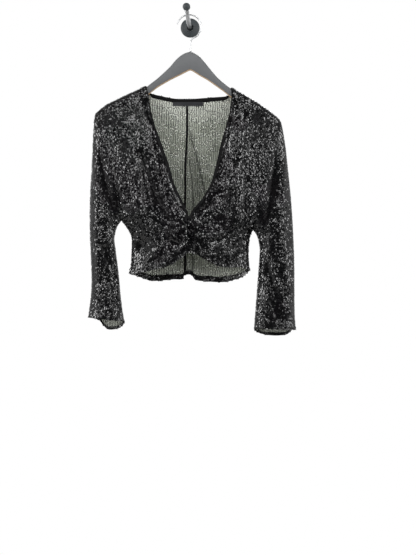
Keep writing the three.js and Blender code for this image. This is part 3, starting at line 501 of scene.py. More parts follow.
@dataclass
class Grid:
    """A surface as rows of points from top to bottom.

    Attributes:
        points: Rows by columns of places in millimetres.
        out: The side that the surface's outside faces, a unit vector for each point.
        cloth: For each point, its place in the cloth laid flat: across and up, in millimetres.
        down: 0 at the top row and 1 at the bottom row of the piece.
    """

    points: Array
    out: Array
    cloth: Array
    down: Array

    @classmethod
    def from_points(cls, points: Array, facing: int, down: Array, ring: bool = False) -> "Grid":
        """Works out normals and cloth places from points alone.

        Args:
            points: Rows by columns of places.
            facing: -1 where the outside looks to -Y, 1 where it looks to +Y. For a ring, the
                outside looks away from the ring's middle.
            down: 0 to 1 for each row.
            ring: True if the last column joins the first.

        Returns:
            The grid.
        """
        padded = np.concatenate([points[:, -1:], points, points[:, :1]], 1) if ring else points
        along = np.gradient(padded, axis=1)
        along = along[:, 1:-1] if ring else along
        normal = unit(np.cross(along, np.gradient(points, axis=0)))
        if ring:
            centre = points.mean(axis=1, keepdims=True)
            way = np.sign(np.sum((points - centre) * normal))
        else:
            way = np.sign(np.sum(normal[..., 1])) * facing
        step = np.diff(points, axis=1)
        turn = np.sign(points[:, -1:, 0] - points[:, :1, 0]) if not ring else 1
        across = np.cumsum(np.hypot(step[..., 0], step[..., 1]), axis=1) * turn
        fall = np.diff(points, axis=0)
        drop = np.cumsum(np.hypot(fall[..., 1], fall[..., 2]), axis=0)
        a = points[:, :1, 0] + np.concatenate([np.zeros_like(points[:, :1, 0]), across], axis=1)
        b = points[:1, :, 2] - np.concatenate([np.zeros_like(points[:1, :, 2]), drop], axis=0)
        share = np.broadcast_to(np.reshape(down, (-1, 1)), points.shape[:2])
        return cls(points, normal * way, np.stack([a, b], -1), share)

    def lifted(self, height: Array | float) -> Array:
        """The points, moved out by a height."""
        return self.points + self.out * np.reshape(height, np.shape(height) + (1,))

    def rows(self, low: float, high: float) -> "Grid":
        """The rows between two shares of the way down."""
        keep = (self.down[:, 0] >= low - 1e-9) & (self.down[:, 0] <= high + 1e-9)
        return Grid(self.points[keep], self.out[keep], self.cloth[keep], self.down[keep])

    def columns(self, chosen: Sequence[int] | Array) -> "Grid":
        """The given columns, in the given order."""
        return Grid(
            self.points[:, chosen], self.out[:, chosen], self.cloth[:, chosen], self.down[:, chosen])


def srgb(code: int) -> tuple[float, float, float, float]:
    """Linear colour of an sRGB hex value."""
    parts = [((code >> shift) & 255) / 255 for shift in (16, 8, 0)]
    return (*(p / 12.92 if p <= 0.04045 else ((p + 0.055) / 1.055) ** 2.4 for p in parts), 1.0)


def add_node(
    tree: bpy.types.NodeTree, kind: str, settings: dict | None = None, inputs: dict | None = None,
) -> bpy.types.Node:
    """Adds a node with its settings and links.

    Args:
        tree: The node tree.
        kind: The node's type name.
        settings: Its properties by name.
        inputs: Its sockets by name or number: a socket links, a plain value is set.

    Returns:
        The node.
    """
    node = tree.nodes.new(kind)
    for name, value in (settings or {}).items():
        setattr(node, name, value)
    for name, value in (inputs or {}).items():
        if isinstance(value, bpy.types.NodeSocket):
            tree.links.new(value, node.inputs[name])
        else:
            node.inputs[name].default_value = value
    return node


@dataclass(frozen=True)
class Finish:
    """A surface finish, which makes its material once.

    Attributes:
        name: The material's name.
        roughness: Its usual roughness.
        metallic: 1 for bare metal.
        ior: Refractive index, left at the default for metals.
    """

    name: str
    roughness: float = 0.5
    metallic: float = 0.0
    ior: float = 1.5

    def material(self) -> bpy.types.Material:
        """The material, made on first use."""
        made = bpy.data.materials.get(self.name)
        if made is None:
            made = bpy.data.materials.new(self.name)
            made.use_nodes = True
            tree = made.node_tree
            tree.nodes.clear()
            settings = {"Roughness": self.roughness, "Metallic": self.metallic, "IOR": self.ior}
            shader = add_node(tree, "ShaderNodeBsdfPrincipled", {}, settings)
            add_node(tree, "ShaderNodeOutputMaterial", {}, {"Surface": shader.outputs[0]})
            self.dress(tree, shader)
        return made

    def dress(self, tree: bpy.types.NodeTree, shader: bpy.types.Node) -> None:
        """Adds colour and relief to the shader."""
        raise NotImplementedError

    @staticmethod
    def place(tree: bpy.types.NodeTree) -> bpy.types.NodeSocket:
        """Place on the object, in metres."""
        return add_node(tree, "ShaderNodeTexCoord").outputs["Object"]

    @staticmethod
    def noise(
        tree: bpy.types.NodeTree, place: bpy.types.NodeSocket, grain: float, detail: float = 2,
    ) -> bpy.types.NodeSocket:
        """Noise with grains of a size in millimetres."""
        inputs = {"Vector": place, "Scale": 1 / (grain * MM), "Detail": detail}
        return add_node(tree, "ShaderNodeTexNoise", {}, inputs).outputs["Fac"]

    @staticmethod
    def step(
        tree: bpy.types.NodeTree, value: bpy.types.NodeSocket, low: float, high: float,
        to_low: float = 0, to_high: float = 1,
    ) -> bpy.types.NodeSocket:
        """Maps one range of a value to another, held at the ends."""
        inputs = {"Value": value, "From Min": low, "From Max": high, "To Min": to_low, "To Max": to_high}
        return add_node(tree, "ShaderNodeMapRange", {}, inputs).outputs[0]

    @staticmethod
    def blend(
        tree: bpy.types.NodeTree, share: bpy.types.NodeSocket, first: object, second: object,
    ) -> bpy.types.NodeSocket:
        """Mixes two colours, each an sRGB hex value or a socket."""
        first, second = (srgb(c) if isinstance(c, int) else c for c in (first, second))
        inputs = {0: share, 6: first, 7: second}
        return add_node(tree, "ShaderNodeMix", {"data_type": "RGBA"}, inputs).outputs[2]

    @staticmethod
    def sums(
        tree: bpy.types.NodeTree, operation: str, first: object, second: object = 0.0,
    ) -> bpy.types.NodeSocket:
        """One step of arithmetic."""
        inputs = {0: first, 1: second}
        return add_node(tree, "ShaderNodeMath", {"operation": operation}, inputs).outputs[0]

    @staticmethod
    def relief(
        tree: bpy.types.NodeTree, shader: bpy.types.Node, height: bpy.types.NodeSocket, depth: float,
        strength: float = 0.6,
    ) -> None:
        """Fine relief of a depth in millimetres on the shader."""
        inputs = {"Height": height, "Distance": depth * MM, "Strength": strength}
        bump = add_node(tree, "ShaderNodeBump", {}, inputs)
        tree.links.new(bump.outputs[0], shader.inputs["Normal"])


@dataclass(frozen=True)
class SequinFilm(Finish):
    """Punched polyester film, dyed black in the mass: a hard gloss that glints disc by disc."""

    name: str = "black polyester sequin film, punched and cupped"
    ior: float = 1.65
    deep: int = 0x050506
    worn: int = 0x101012

    def dress(self, tree: bpy.types.NodeTree, shader: bpy.types.Node) -> None:
        """Each disc has its own tone: some are cleaner and sharper, some rubbed and duller."""
        tone = add_node(tree, "ShaderNodeAttribute", {"attribute_name": "tone"}).outputs["Fac"]
        tree.links.new(self.blend(tree, tone, self.deep, self.worn), shader.inputs["Base Color"])
        tree.links.new(self.step(tree, tone, 0, 1, 0.07, 0.17), shader.inputs["Roughness"])
        dents = self.noise(tree, self.place(tree), 1.6)
        self.relief(tree, shader, dents, 0.08, 0.5)


@dataclass(frozen=True)
class MeshKnit(Finish):
    """Black nylon mesh knit, matt: it only shows as dark between the discs and along the rims."""

    name: str = "black nylon mesh knit"
    roughness: float = 0.85
    ior: float = 1.25
    thread: float = 0.9
    dark: int = 0x060607
    light: int = 0x151517

    def dress(self, tree: bpy.types.NodeTree, shader: bpy.types.Node) -> None:
        """Thread-sized grains, drawn a little coarser than the real gauge so that they show."""
        grains = self.noise(tree, self.place(tree), self.thread)
        tree.links.new(self.blend(tree, grains, self.dark, self.light), shader.inputs["Base Color"])
        self.relief(tree, shader, grains, 0.25)


@dataclass(frozen=True)
class WrongSide(Finish):
    """Wrong side of the sequined mesh: grey-green wales with loops of pale sewing thread, white specks
    of painted light showing through between the discs, and painted shade along the back's creases.
    """

    name: str = "wrong side of the sequined mesh, knitted"
    roughness: float = 0.7
    wale: float = 4.2  # distance between the rows of discs, which the wales follow
    course: float = 3.6
    speck: float = 4.6  # distance between the white specks of painted light showing through between the discs
    taut_above: tuple[float, float] = (-245.0, -195.0)  # stretched by the hanger from here up
    taut_below: tuple[float, float] = (-600.0, -560.0)  # and by the hem from here down
    groove: int = 0x2F352E
    crest: int = 0xB3B9A9
    thread: int = 0xF1F5EA
    shadow: int = 0x1B1E19

    def dress(self, tree: bpy.types.NodeTree, shader: bpy.types.Node) -> None:
        """Upright wales, a stitch at each disc and dark gaps; white specks of painted light showing
        through between the discs, each in a dark ring; and painted shade along the creases.
        """
        flat = add_node(tree, "ShaderNodeAttribute", {"attribute_name": "cloth"}).outputs["Vector"]
        parts = add_node(tree, "ShaderNodeSeparateXYZ", {}, {0: flat}).outputs
        waver = self.step(tree, self.noise(tree, flat, 9), 0.3, 0.7, -0.9 * MM, 0.9 * MM)
        across = self.sums(tree, "ADD", parts[0], waver)
        turn = self.sums(tree, "MULTIPLY", across, 2 * math.pi / (self.wale * MM))
        ribs = self.step(tree, self.sums(tree, "SINE", turn), -0.5, 0.3)
        rise = self.sums(tree, "MULTIPLY", parts[1], 2 * math.pi / (self.course * MM))
        loops = self.step(tree, self.sums(tree, "SINE", rise), -1, 1)
        grains = self.noise(tree, flat, 1.8)
        height = self.sums(tree, "ADD", ribs, self.sums(tree, "MULTIPLY", loops, 0.35))
        above = self.step(tree, parts[1], *(z * MM for z in self.taut_above))
        below = self.step(tree, parts[1], *(z * MM for z in self.taut_below), 0.6, 0)
        pulled = self.sums(tree, "MAXIMUM", above, below)
        crest = self.blend(tree, pulled, self.crest, self.thread)
        groove = self.blend(tree, pulled, self.groove, self.shadow)
        colour = self.blend(tree, ribs, groove, crest)
        cloud = self.step(tree, self.noise(tree, flat, 38, 3), 0.3, 0.7, 0, 0.5)
        colour = self.blend(tree, self.sums(tree, "MULTIPLY", cloud, grains), colour, self.thread)
        dark = self.step(tree, self.noise(tree, flat, 3.1), 0.6, 0.66, 0, 0.8)
        colour = self.blend(tree, dark, colour, self.shadow)
        # painted light: white specks in the thread's colour, as if light came through between the discs,
        # each in a dark ring
        inputs = {"Vector": flat, "Scale": 1 / (self.speck * MM)}
        cells = add_node(tree, "ShaderNodeTexVoronoi", {"voronoi_dimensions": "2D"}, inputs)
        white = self.step(tree, cells.outputs["Distance"], 0.3, 0.38, 1, 0)
        ring = self.step(tree, cells.outputs["Distance"], 0.5, 0.62, 1, 0)
        inputs = {"Vector": flat, "Scale": (0.3, 1.0, 1.0)}
        rows = add_node(tree, "ShaderNodeMapping", {}, inputs).outputs[0]
        chosen = self.step(tree, self.noise(tree, rows, 7), 0.5, 0.53)
        colour = self.blend(tree, self.sums(tree, "MULTIPLY", ring, chosen), colour, self.shadow)
        colour = self.blend(tree, self.sums(tree, "MULTIPLY", white, chosen), colour, self.thread)
        # painted shade: the creases darken the colour towards the shadow colour
        crease = add_node(tree, "ShaderNodeAttribute", {"attribute_name": "crease"}).outputs["Fac"]
        colour = self.blend(tree, crease, colour, self.shadow)
        tree.links.new(colour, shader.inputs["Base Color"])
        self.relief(tree, shader, height, 0.7, 0.8)


@dataclass(frozen=True)
class Binding(Finish):
    """Plain black mesh, folded double and steamed flat: a soft satiny line along its roll."""

    name: str = "plain black mesh binding, folded and steamed"
    roughness: float = 0.62
    ior: float = 1.25
    wale: float = 1.1  # drawn about twice the real gauge, so that the knit shows at all
    dark: int = 0x060607
    light: int = 0x0F0F10

    def dress(self, tree: bpy.types.NodeTree, shader: bpy.types.Node) -> None:
        """Fine wales and a slight cloudiness from the iron."""
        shader.inputs["Sheen Weight"].default_value = 0.06
        shader.inputs["Sheen Roughness"].default_value = 0.4
        place = self.place(tree)
        cloud = self.noise(tree, place, 16)
        tree.links.new(self.blend(tree, cloud, self.dark, self.light), shader.inputs["Base Color"])
        self.relief(tree, shader, self.noise(tree, place, self.wale), 0.2)


@dataclass(frozen=True)
class LabelSatin(Finish):
    """Woven black satin: long floats that shine along the label."""

    name: str = "black woven satin tape"
    roughness: float = 0.38
    float_length: float = 1.4
    dark: int = 0x141517
    light: int = 0x3E4044

    def dress(self, tree: bpy.types.NodeTree, shader: bpy.types.Node) -> None:
        """Grains drawn out along the weave."""
        shader.inputs["Anisotropic"].default_value = 0.4
        inputs = {"Vector": self.place(tree), "Scale": (1.0, 1.0, 6.0)}
        place = add_node(tree, "ShaderNodeMapping", {}, inputs).outputs[0]
        floats = self.noise(tree, place, self.float_length)
        tree.links.new(self.blend(tree, floats, self.dark, self.light), shader.inputs["Base Color"])
        self.relief(tree, shader, floats, 0.1)


@dataclass(frozen=True)
class HangerPaint(Finish):
    """Sprayed lacquer on a beech board: even mid grey, with faint orange peel."""

    name: str = "grey lacquered beech, sprayed"
    roughness: float = 0.42
    grey: int = 0x5F6163
    light: int = 0x727476

    def dress(self, tree: bpy.types.NodeTree, shader: bpy.types.Node) -> None:
        """Orange peel, and a tone that drifts along the board."""
        place = self.place(tree)
        cloud = self.noise(tree, place, 60)
        tree.links.new(self.blend(tree, cloud, self.grey, self.light), shader.inputs["Base Color"])
        self.relief(tree, shader, self.noise(tree, place, 2.2), 0.12, 0.4)


@dataclass(frozen=True)
class BareBeech(Finish):
    """Sawn beech left bare on the underside: warm tan with short dark ray flecks."""

    name: str = "bare beech, sawn and sanded"
    roughness: float = 0.62
    tan: int = 0xC9A67F
    pale: int = 0xDDBE9A
    fleck: int = 0x6E4D33

    def dress(self, tree: bpy.types.NodeTree, shader: bpy.types.Node) -> None:
        """Grain along the board and the short flecks of beech."""
        inputs = {"Vector": self.place(tree), "Scale": (0.18, 1.0, 1.0)}
        place = add_node(tree, "ShaderNodeMapping", {}, inputs).outputs[0]
        grain = self.noise(tree, place, 1.5, 3)
        colour = self.blend(tree, grain, self.tan, self.pale)
        flecks = self.step(tree, self.noise(tree, place, 0.9), 0.62, 0.68, 0, 0.9)
        colour = self.blend(tree, flecks, colour, self.fleck)
        tree.links.new(colour, shader.inputs["Base Color"])
        self.relief(tree, shader, grain, 0.15)


@dataclass(frozen=True)
class Metal(Finish):
    """Plated or brushed metal: the colour is its reflection, broken by fine wear."""

    name: str = "chromed steel wire, drawn"
    roughness: float = 0.16
    metallic: float = 1.0
    bright: int = 0xE4E5E6
    dull: int = 0xB9BBBD
    grain: float = 3.0

    def dress(self, tree: bpy.types.NodeTree, shader: bpy.types.Node) -> None:
        """Clean and rubbed patches with a little more roughness."""
        wear = self.noise(tree, self.place(tree), self.grain, 4)
        tree.links.new(self.blend(tree, wear, self.bright, self.dull), shader.inputs["Base Color"])
        spread = self.step(tree, wear, 0.3, 0.7, self.roughness, self.roughness + 0.12)
        tree.links.new(spread, shader.inputs["Roughness"])


@dataclass(frozen=True)
class PowderCoat(Finish):
    """Powder-coated zinc: dark slate with the fine pebble of baked powder."""

    name: str = "slate powder coat on cast zinc"
    roughness: float = 0.44
    slate: int = 0x34393C
    light: int = 0x454B4E
    pebble: float = 0.7

    def dress(self, tree: bpy.types.NodeTree, shader: bpy.types.Node) -> None:
        """Pebbles of baked powder."""
        place = self.place(tree)
        grain = self.noise(tree, place, self.pebble)
        tree.links.new(self.blend(tree, grain, self.slate, self.light), shader.inputs["Base Color"])
        self.relief(tree, shader, grain, 0.12)


@dataclass(frozen=True)
class FloorPaint(Finish):
    """Matt pale floor paint, rolled."""

    name: str = "pale floor paint, rolled"
    roughness: float = 0.9
    pale: int = 0xE9E8E5
    worn: int = 0xDEDDDA

    def dress(self, tree: bpy.types.NodeTree, shader: bpy.types.Node) -> None:
        """Faint roller marks."""
        cloud = self.noise(tree, self.place(tree), 400)
        tree.links.new(self.blend(tree, cloud, self.pale, self.worn), shader.inputs["Base Color"])


SEQUINS = SequinFilm()
MESH_KNIT = MeshKnit()
WRONG_SIDE = WrongSide()
# A lighter copy of the wrong side for the inside of the sleeves: painted light that makes up for the
# shade inside the tube, seen at the cuffs.
LIT_SLEEVE_INSIDE = WrongSide(
    name="wrong side of the sequined mesh, turned out at the cuff", groove=0x6B7167, crest=0xEFF2E8)
BINDING = Binding()
SATIN = LabelSatin()
PAINT = HangerPaint()
BEECH = BareBeech()
WIRE_PLATING = Metal()
PEG_METAL = Metal(
    name="satin aluminium, brushed", roughness=0.3, bright=0xD2D3D4, dull=0xA6A8AA)
COAT = PowderCoat()
FLOOR = FloorPaint()

# Finishes of a piece's outside, inside and rims.
CLOTH_FINISHES = (MESH_KNIT, WRONG_SIDE, MESH_KNIT)
SLEEVE_FINISHES = (MESH_KNIT, LIT_SLEEVE_INSIDE, MESH_KNIT)
BAND_FINISHES = (BINDING, BINDING, BINDING)


class Maker:
    """Turns arrays of points and faces into objects that ride on the part."""

    @staticmethod
    def piece(
        name: str, points: Array, faces: Sequence[Array], finishes: Sequence[Finish],
        slots: Array | None = None, shaded: bool = True, marks: dict[str, Array] | None = None,
    ) -> bpy.types.Object:
        """Makes one mesh object.

        Args:
            name: The piece's name.
            points: Places in millimetres.
            faces: Arrays of corner numbers, each array with one number of corners.
            finishes: The material slots in order.
            slots: The slot of each face, in the order of faces.
            shaded: True for smooth shading.
            marks: Point attributes by name, of one or three numbers each.

        Returns:
            The object, which rides on the part's one body.
        """
        mesh = bpy.data.meshes.new(name)
        corners = np.concatenate([f.ravel() for f in faces])
        sizes = np.concatenate([np.full(len(f), f.shape[1]) for f in faces])
        mesh.vertices.add(len(points))
        mesh.loops.add(len(corners))
        mesh.polygons.add(len(sizes))
        mesh.vertices.foreach_set("co", (points * MM).astype(np.float32).ravel())
        mesh.loops.foreach_set("vertex_index", corners.astype(np.int32))
        mesh.polygons.foreach_set("loop_start", (np.cumsum(sizes) - sizes).astype(np.int32))
        mesh.polygons.foreach_set("use_smooth", np.full(len(sizes), shaded))
        if slots is not None:
            mesh.polygons.foreach_set("material_index", slots.astype(np.int32))
        mesh.update(calc_edges=True)
        for mark, values in (marks or {}).items():
            kind, slot = ("FLOAT", "value") if values.ndim == 1 else ("FLOAT_VECTOR", "vector")
            attribute = mesh.attributes.new(mark, kind, "POINT")
            attribute.data.foreach_set(slot, values.astype(np.float32).ravel())
        for finish in finishes:
            mesh.materials.append(finish.material())
        piece = bpy.data.objects.new(name, mesh)
        bpy.context.scene.collection.objects.link(piece)
        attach(piece, "root")
        log.info("%s: %d points, %d faces", name, len(points), len(sizes))
        return piece

    @staticmethod
    def quads(rows: int, columns: int, ring: bool) -> Array:
        """Faces of a grid of points."""
        steps = columns if ring else columns - 1
        i, j = np.meshgrid(np.arange(rows - 1), np.arange(steps), indexing="ij")
        a = i * columns + j
        b = i * columns + (j + 1) % columns
        return np.stack([a, b, b + columns, a + columns], -1).reshape(-1, 4)

    @classmethod
    def shell(
        cls, name: str, grid: Grid, outer: Array | float, inner: Array | float,
        finishes: tuple[Finish, Finish, Finish], ring: bool = False,
    ) -> bpy.types.Object:
        """Makes a closed wall along a grid.

        Args:
            name: The piece's name.
            grid: The surface.
            outer: How far the outside stands above the surface.
            inner: How far the inside lies below it.
            finishes: Those of the outside, the inside and the rims.
            ring: True if the grid closes on itself.

        Returns:
            The object.
        """
        rows, columns = grid.points.shape[:2]
        top = grid.lifted(np.broadcast_to(outer, (rows, columns)))
        under = grid.lifted(-np.broadcast_to(inner, (rows, columns)))
        half = rows * columns
        face = cls.quads(rows, columns, ring)
        first = top.reshape(-1, 3)[face]
        turned = np.cross(first[:, 2] - first[:, 0], first[:, 3] - first[:, 1])
        if np.sum(turned * grid.out.reshape(-1, 3)[face[:, 0]]) < 0:
            face = face[:, ::-1]
        number = np.arange(half).reshape(rows, columns)
        lines = [number[0], number[-1][::-1]]
        if ring:
            lines = [np.append(line, line[0]) for line in lines]
        else:
            lines += [number[::-1, 0], number[:, -1]]
        rims = np.concatenate([
            np.stack([line[1:], line[:-1], line[:-1] + half, line[1:] + half], -1) for line in lines])
        was_turned = face[0][0] != 0
        if was_turned:
            rims = rims[:, ::-1]
        faces = np.concatenate([face, face[:, ::-1] + half, rims])
        slots = np.repeat([0, 1, 2], [len(face), len(face), len(rims)])
        flat = np.concatenate([grid.cloth, np.zeros_like(grid.cloth[..., :1])], -1).reshape(-1, 3) * MM
        points = np.concatenate([top.reshape(-1, 3), under.reshape(-1, 3)])
        # painted shade along the creases, kept to the back's wrong side and carried to its colour by the
        # crease mark
        shade = crease_shade(grid.points[..., 0], grid.points[..., 2]) * (grid.points[..., 1] > PLANE_Y)
        marks = {"cloth": np.concatenate([flat, flat]), "crease": np.tile(shade.ravel(), 2)}
        return cls.piece(name, points, [faces], finishes, slots, True, marks)

    @classmethod
    def lathe(
        cls, name: str, profile: Array, axis: tuple[Sequence[float], Sequence[float]], finish: Finish,
    ) -> bpy.types.Object:
        """Makes a turned piece.

        Args:
            name: The piece's name.
            profile: Rows of radius and height, from the axis to the axis.
            axis: The foot of the axis and its direction.
            finish: The finish all over.

        Returns:
            The object.
        """
        segments = 72
        foot, way = np.array(axis[0], float), unit(np.array(axis[1], float))
        aside = [0.31, 0.22, 0.92]  # any direction off the axis
        side = unit(np.cross(way, aside))
        other = np.cross(way, side)
        angle = np.linspace(0, 2 * math.pi, segments, endpoint=False)
        spoke = np.cos(angle)[:, None] * side + np.sin(angle)[:, None] * other
        inside = profile[1:-1]
        rings = foot + inside[:, None, 1:] * way + inside[:, None, :1] * spoke
        ends = foot + profile[[0, -1], 1:] * way
        points = np.concatenate([rings.reshape(-1, 3), ends])
        count = len(inside) * segments
        here = np.arange(segments)
        after = (here + 1) % segments
        last = count - segments
        caps = np.concatenate([
            np.stack([np.full(segments, count), here, after], -1),
            np.stack([np.full(segments, count + 1), last + after, last + here], -1)])
        faces = [cls.quads(len(inside), segments, True)[:, ::-1], caps[:, ::-1]]
        middle = points.mean(axis=0)
        corner = points[faces[0]]
        turned = np.cross(corner[:, 2] - corner[:, 0], corner[:, 3] - corner[:, 1])
        if np.sum(turned * (corner.mean(axis=1) - middle)) < 0:
            faces = [f[:, ::-1] for f in faces]
        return cls.piece(name, points, faces, [finish])

    @classmethod
    def tube(
        cls, name: str, path: Array, radii: Array, finish: Finish, sides: int = 24,
    ) -> bpy.types.Object:
        """Makes a round bar along a path, with its ends domed by the radii.

        Args:
            name: The piece's name.
            path: The middle line's points.
            radii: The bar's radius at each point.
            finish: The finish all over.
            sides: Sides of the section.

        Returns:
            The object.
        """
        way = unit(np.gradient(path, axis=0))
        aside = [0.2, 0.9, 0.1]  # any direction off the path's start
        up = [unit(np.cross(way[0], aside))]
        for direction in way[1:]:
            up.append(unit(up[-1] - direction * np.dot(up[-1], direction)))
        up = np.array(up)
        side = np.cross(way, up)
        angle = np.linspace(0, 2 * math.pi, sides, endpoint=False)
        cos, sin = (values[None, :, None] for values in (np.cos(angle), np.sin(angle)))
        ring = cos * up[:, None] + sin * side[:, None]
        points = (path[:, None] + ring * np.reshape(radii, (-1, 1, 1))).reshape(-1, 3)
        caps = np.stack([np.arange(sides), np.arange(sides)[::-1] + len(points) - sides])
        wall = cls.quads(len(path), sides, True)[:, ::-1]
        return cls.piece(name, points, [wall, caps], [finish])


@dataclass(frozen=True)
class Sequinning:
    """Rows of cupped discs, sewn down like scales.

    Attributes:
        across: Distance between discs in a row, in millimetres.
        down: Distance between rows.
        radius: Radius of a disc.
        cup: How deep its middle lies.
        back: Distance from there to its back.
        sides: Corners of a disc's rim.
        lift: Height of its middle above the cloth.
        overlap: How far its lower edge stands out on smooth cloth, in degrees.
        opening: What each millimetre of a fold's height adds to that: discs open up over a crest,
            where the cloth is stretched, and shut in a trough.
        reach: The least and the most that a fold adds, in degrees.
        scatter: Spread of the way that it faces, in degrees.
        unrest: The share by which each millimetre of a crest widens that spread.
        full_crest: The height of a crest over which it widens no more.
        looseness: How much it widens where the cloth faces down and the discs dangle.
        dangle: How far down the cloth faces before that begins, and how much further it goes on.
        sway: Spread of a disc's place along its row, in millimetres.
        search: Rows and columns of places that are tried in each triangle of the cloth.
        storey: Height within which one place in the flat cloth has one disc.
    """

    across: float = 4.2
    down: float = 3.6
    radius: float = 2.1
    cup: float = 0.12
    back: float = 0.3
    sides: int = 7
    lift: float = 0.75
    overlap: float = 3.5
    opening: float = 3.0
    reach: tuple[float, float] = (-15.0, 4.5)
    scatter: float = 5.5
    unrest: float = 0.6
    full_crest: float = 1.5
    looseness: float = 6.0
    dangle: tuple[float, float] = (0.12, 0.25)
    sway: float = 0.22
    search: int = 6
    storey: float = 7.0

    def lattice(self, grid: Grid) -> tuple[Array, Array, Array]:
        """Finds the disc places on a grid.

        Args:
            grid: The surface, with its places in the flat cloth.

        Returns:
            For each disc its place, the cloth's normal and the way down the cloth.
        """
        rows, columns = grid.points.shape[:2]
        face = Maker.quads(rows, columns, False)
        corner = np.concatenate([face[:, [0, 1, 2]], face[:, [0, 2, 3]]])
        flat = grid.cloth.reshape(-1, 2)[corner]
        low, high = flat.min(axis=1), flat.max(axis=1)
        first_row = np.ceil(low[:, 1] / self.down)
        first_edge, second_edge = flat[:, 1] - flat[:, 0], flat[:, 2] - flat[:, 0]
        area = first_edge[:, 0] * second_edge[:, 1] - first_edge[:, 1] * second_edge[:, 0]
        area = np.where(np.abs(area) < 1e-9, 1e-9, area)
        found, weights, keys = [], [], []
        for row_step in range(self.search):
            row = first_row + row_step
            shift = 0.5 * (row % 2)
            first_column = np.ceil(low[:, 0] / self.across - shift)
            for column_step in range(self.search):
                column = first_column + column_step
                spot = np.stack([(column + shift) * self.across, row * self.down], -1)
                gap = spot - flat[:, 0]
                w1 = (gap[:, 0] * second_edge[:, 1] - gap[:, 1] * second_edge[:, 0]) / area
                w2 = (first_edge[:, 0] * gap[:, 1] - first_edge[:, 1] * gap[:, 0]) / area
                inside = (w1 >= 0) & (w2 >= 0) & (w1 + w2 <= 1) & np.all(spot <= high, axis=1)
                found.append(np.nonzero(inside)[0])
                weights.append(np.stack([1 - w1 - w2, w1, w2], -1)[inside])
                keys.append((row * KEY_STEP + column)[inside])
        found, weights = np.concatenate(found), np.concatenate(weights)[..., None]
        height = np.sum(grid.points[..., 2].reshape(-1)[corner[found]] * weights[..., 0], axis=1)
        named = np.stack([np.concatenate(keys), np.round(height / self.storey)], -1)
        once = np.unique(named, axis=0, return_index=True)[1]
        found, weights = found[once], weights[once]
        way = unit(np.gradient(grid.points, axis=0)).reshape(-1, 3)
        read = [np.sum(values[corner[found]] * weights, axis=1)
                for values in (grid.points.reshape(-1, 3), grid.out.reshape(-1, 3), way)]
        return read[0], unit(read[1]), unit(read[2])

    def sew(self, name: str, grids: Sequence[Grid], rng: np.random.Generator) -> bpy.types.Object:
        """Covers surfaces with discs.

        Args:
            name: The piece's name.
            grids: The surfaces.
            rng: The seeded source of chance.

        Returns:
            The joined discs.
        """
        found = zip(*(self.lattice(grid) for grid in grids))
        spot, normal, down = (np.concatenate(values) for values in found)
        count = len(spot)
        folds = np.where(
            normal[:, 1] < 0, fold_height(Region.FRONT, spot[:, 0], spot[:, 2]),
            fold_height(Region.BACK, spot[:, 0], spot[:, 2]))
        tilt = np.radians(self.overlap + np.clip(self.opening * folds, *self.reach))
        lean = rng.normal(0, math.tan(math.radians(self.scatter)), (count, 2))
        crest = self.unrest * np.clip(folds, 0, self.full_crest)
        under = self.looseness * np.clip(-normal[:, 2] - self.dangle[0], 0, self.dangle[1])
        lean *= (1 + crest + under)[:, None]
        lean[:, 0] -= np.tan(tilt)
        beside = np.cross(normal, down)
        face = unit(normal + down * lean[:, :1] + beside * lean[:, 1:])
        down = unit(down - face * np.sum(down * face, axis=1, keepdims=True))
        beside = np.cross(face, down)
        middle = spot + normal * self.lift + beside * rng.normal(0, self.sway, (count, 1))
        turn = rng.uniform(0, 2 * math.pi, (count, 1))
        angle = turn + np.linspace(0, 2 * math.pi, self.sides, endpoint=False)
        cos, sin = np.cos(angle)[..., None], np.sin(angle)[..., None]
        rim = middle[:, None] + self.radius * (cos * down[:, None] + sin * beside[:, None])
        cup = middle - face * self.cup
        behind = middle - face * (self.cup + self.back)
        points = np.concatenate([rim, cup[:, None], behind[:, None]], axis=1)
        each = self.sides + 2
        here = np.arange(self.sides)
        after = (here + 1) % self.sides
        one = np.concatenate([
            np.stack([np.full(self.sides, self.sides), here, after], -1),
            np.stack([np.full(self.sides, self.sides + 1), after, here], -1)])
        faces = (np.arange(count)[:, None, None] * each + one).reshape(-1, 3)
        tone = np.repeat(rng.random(count), each)
        return Maker.piece(name, points.reshape(-1, 3), [faces], [SEQUINS], None, False, {"tone": tone})


SEQUINNING = Sequinning()


@dataclass(frozen=True)
class Cut:
    """The flat size that a piece of cloth was cut to, in metres and square metres."""

    width: float
    length: float
    area: float


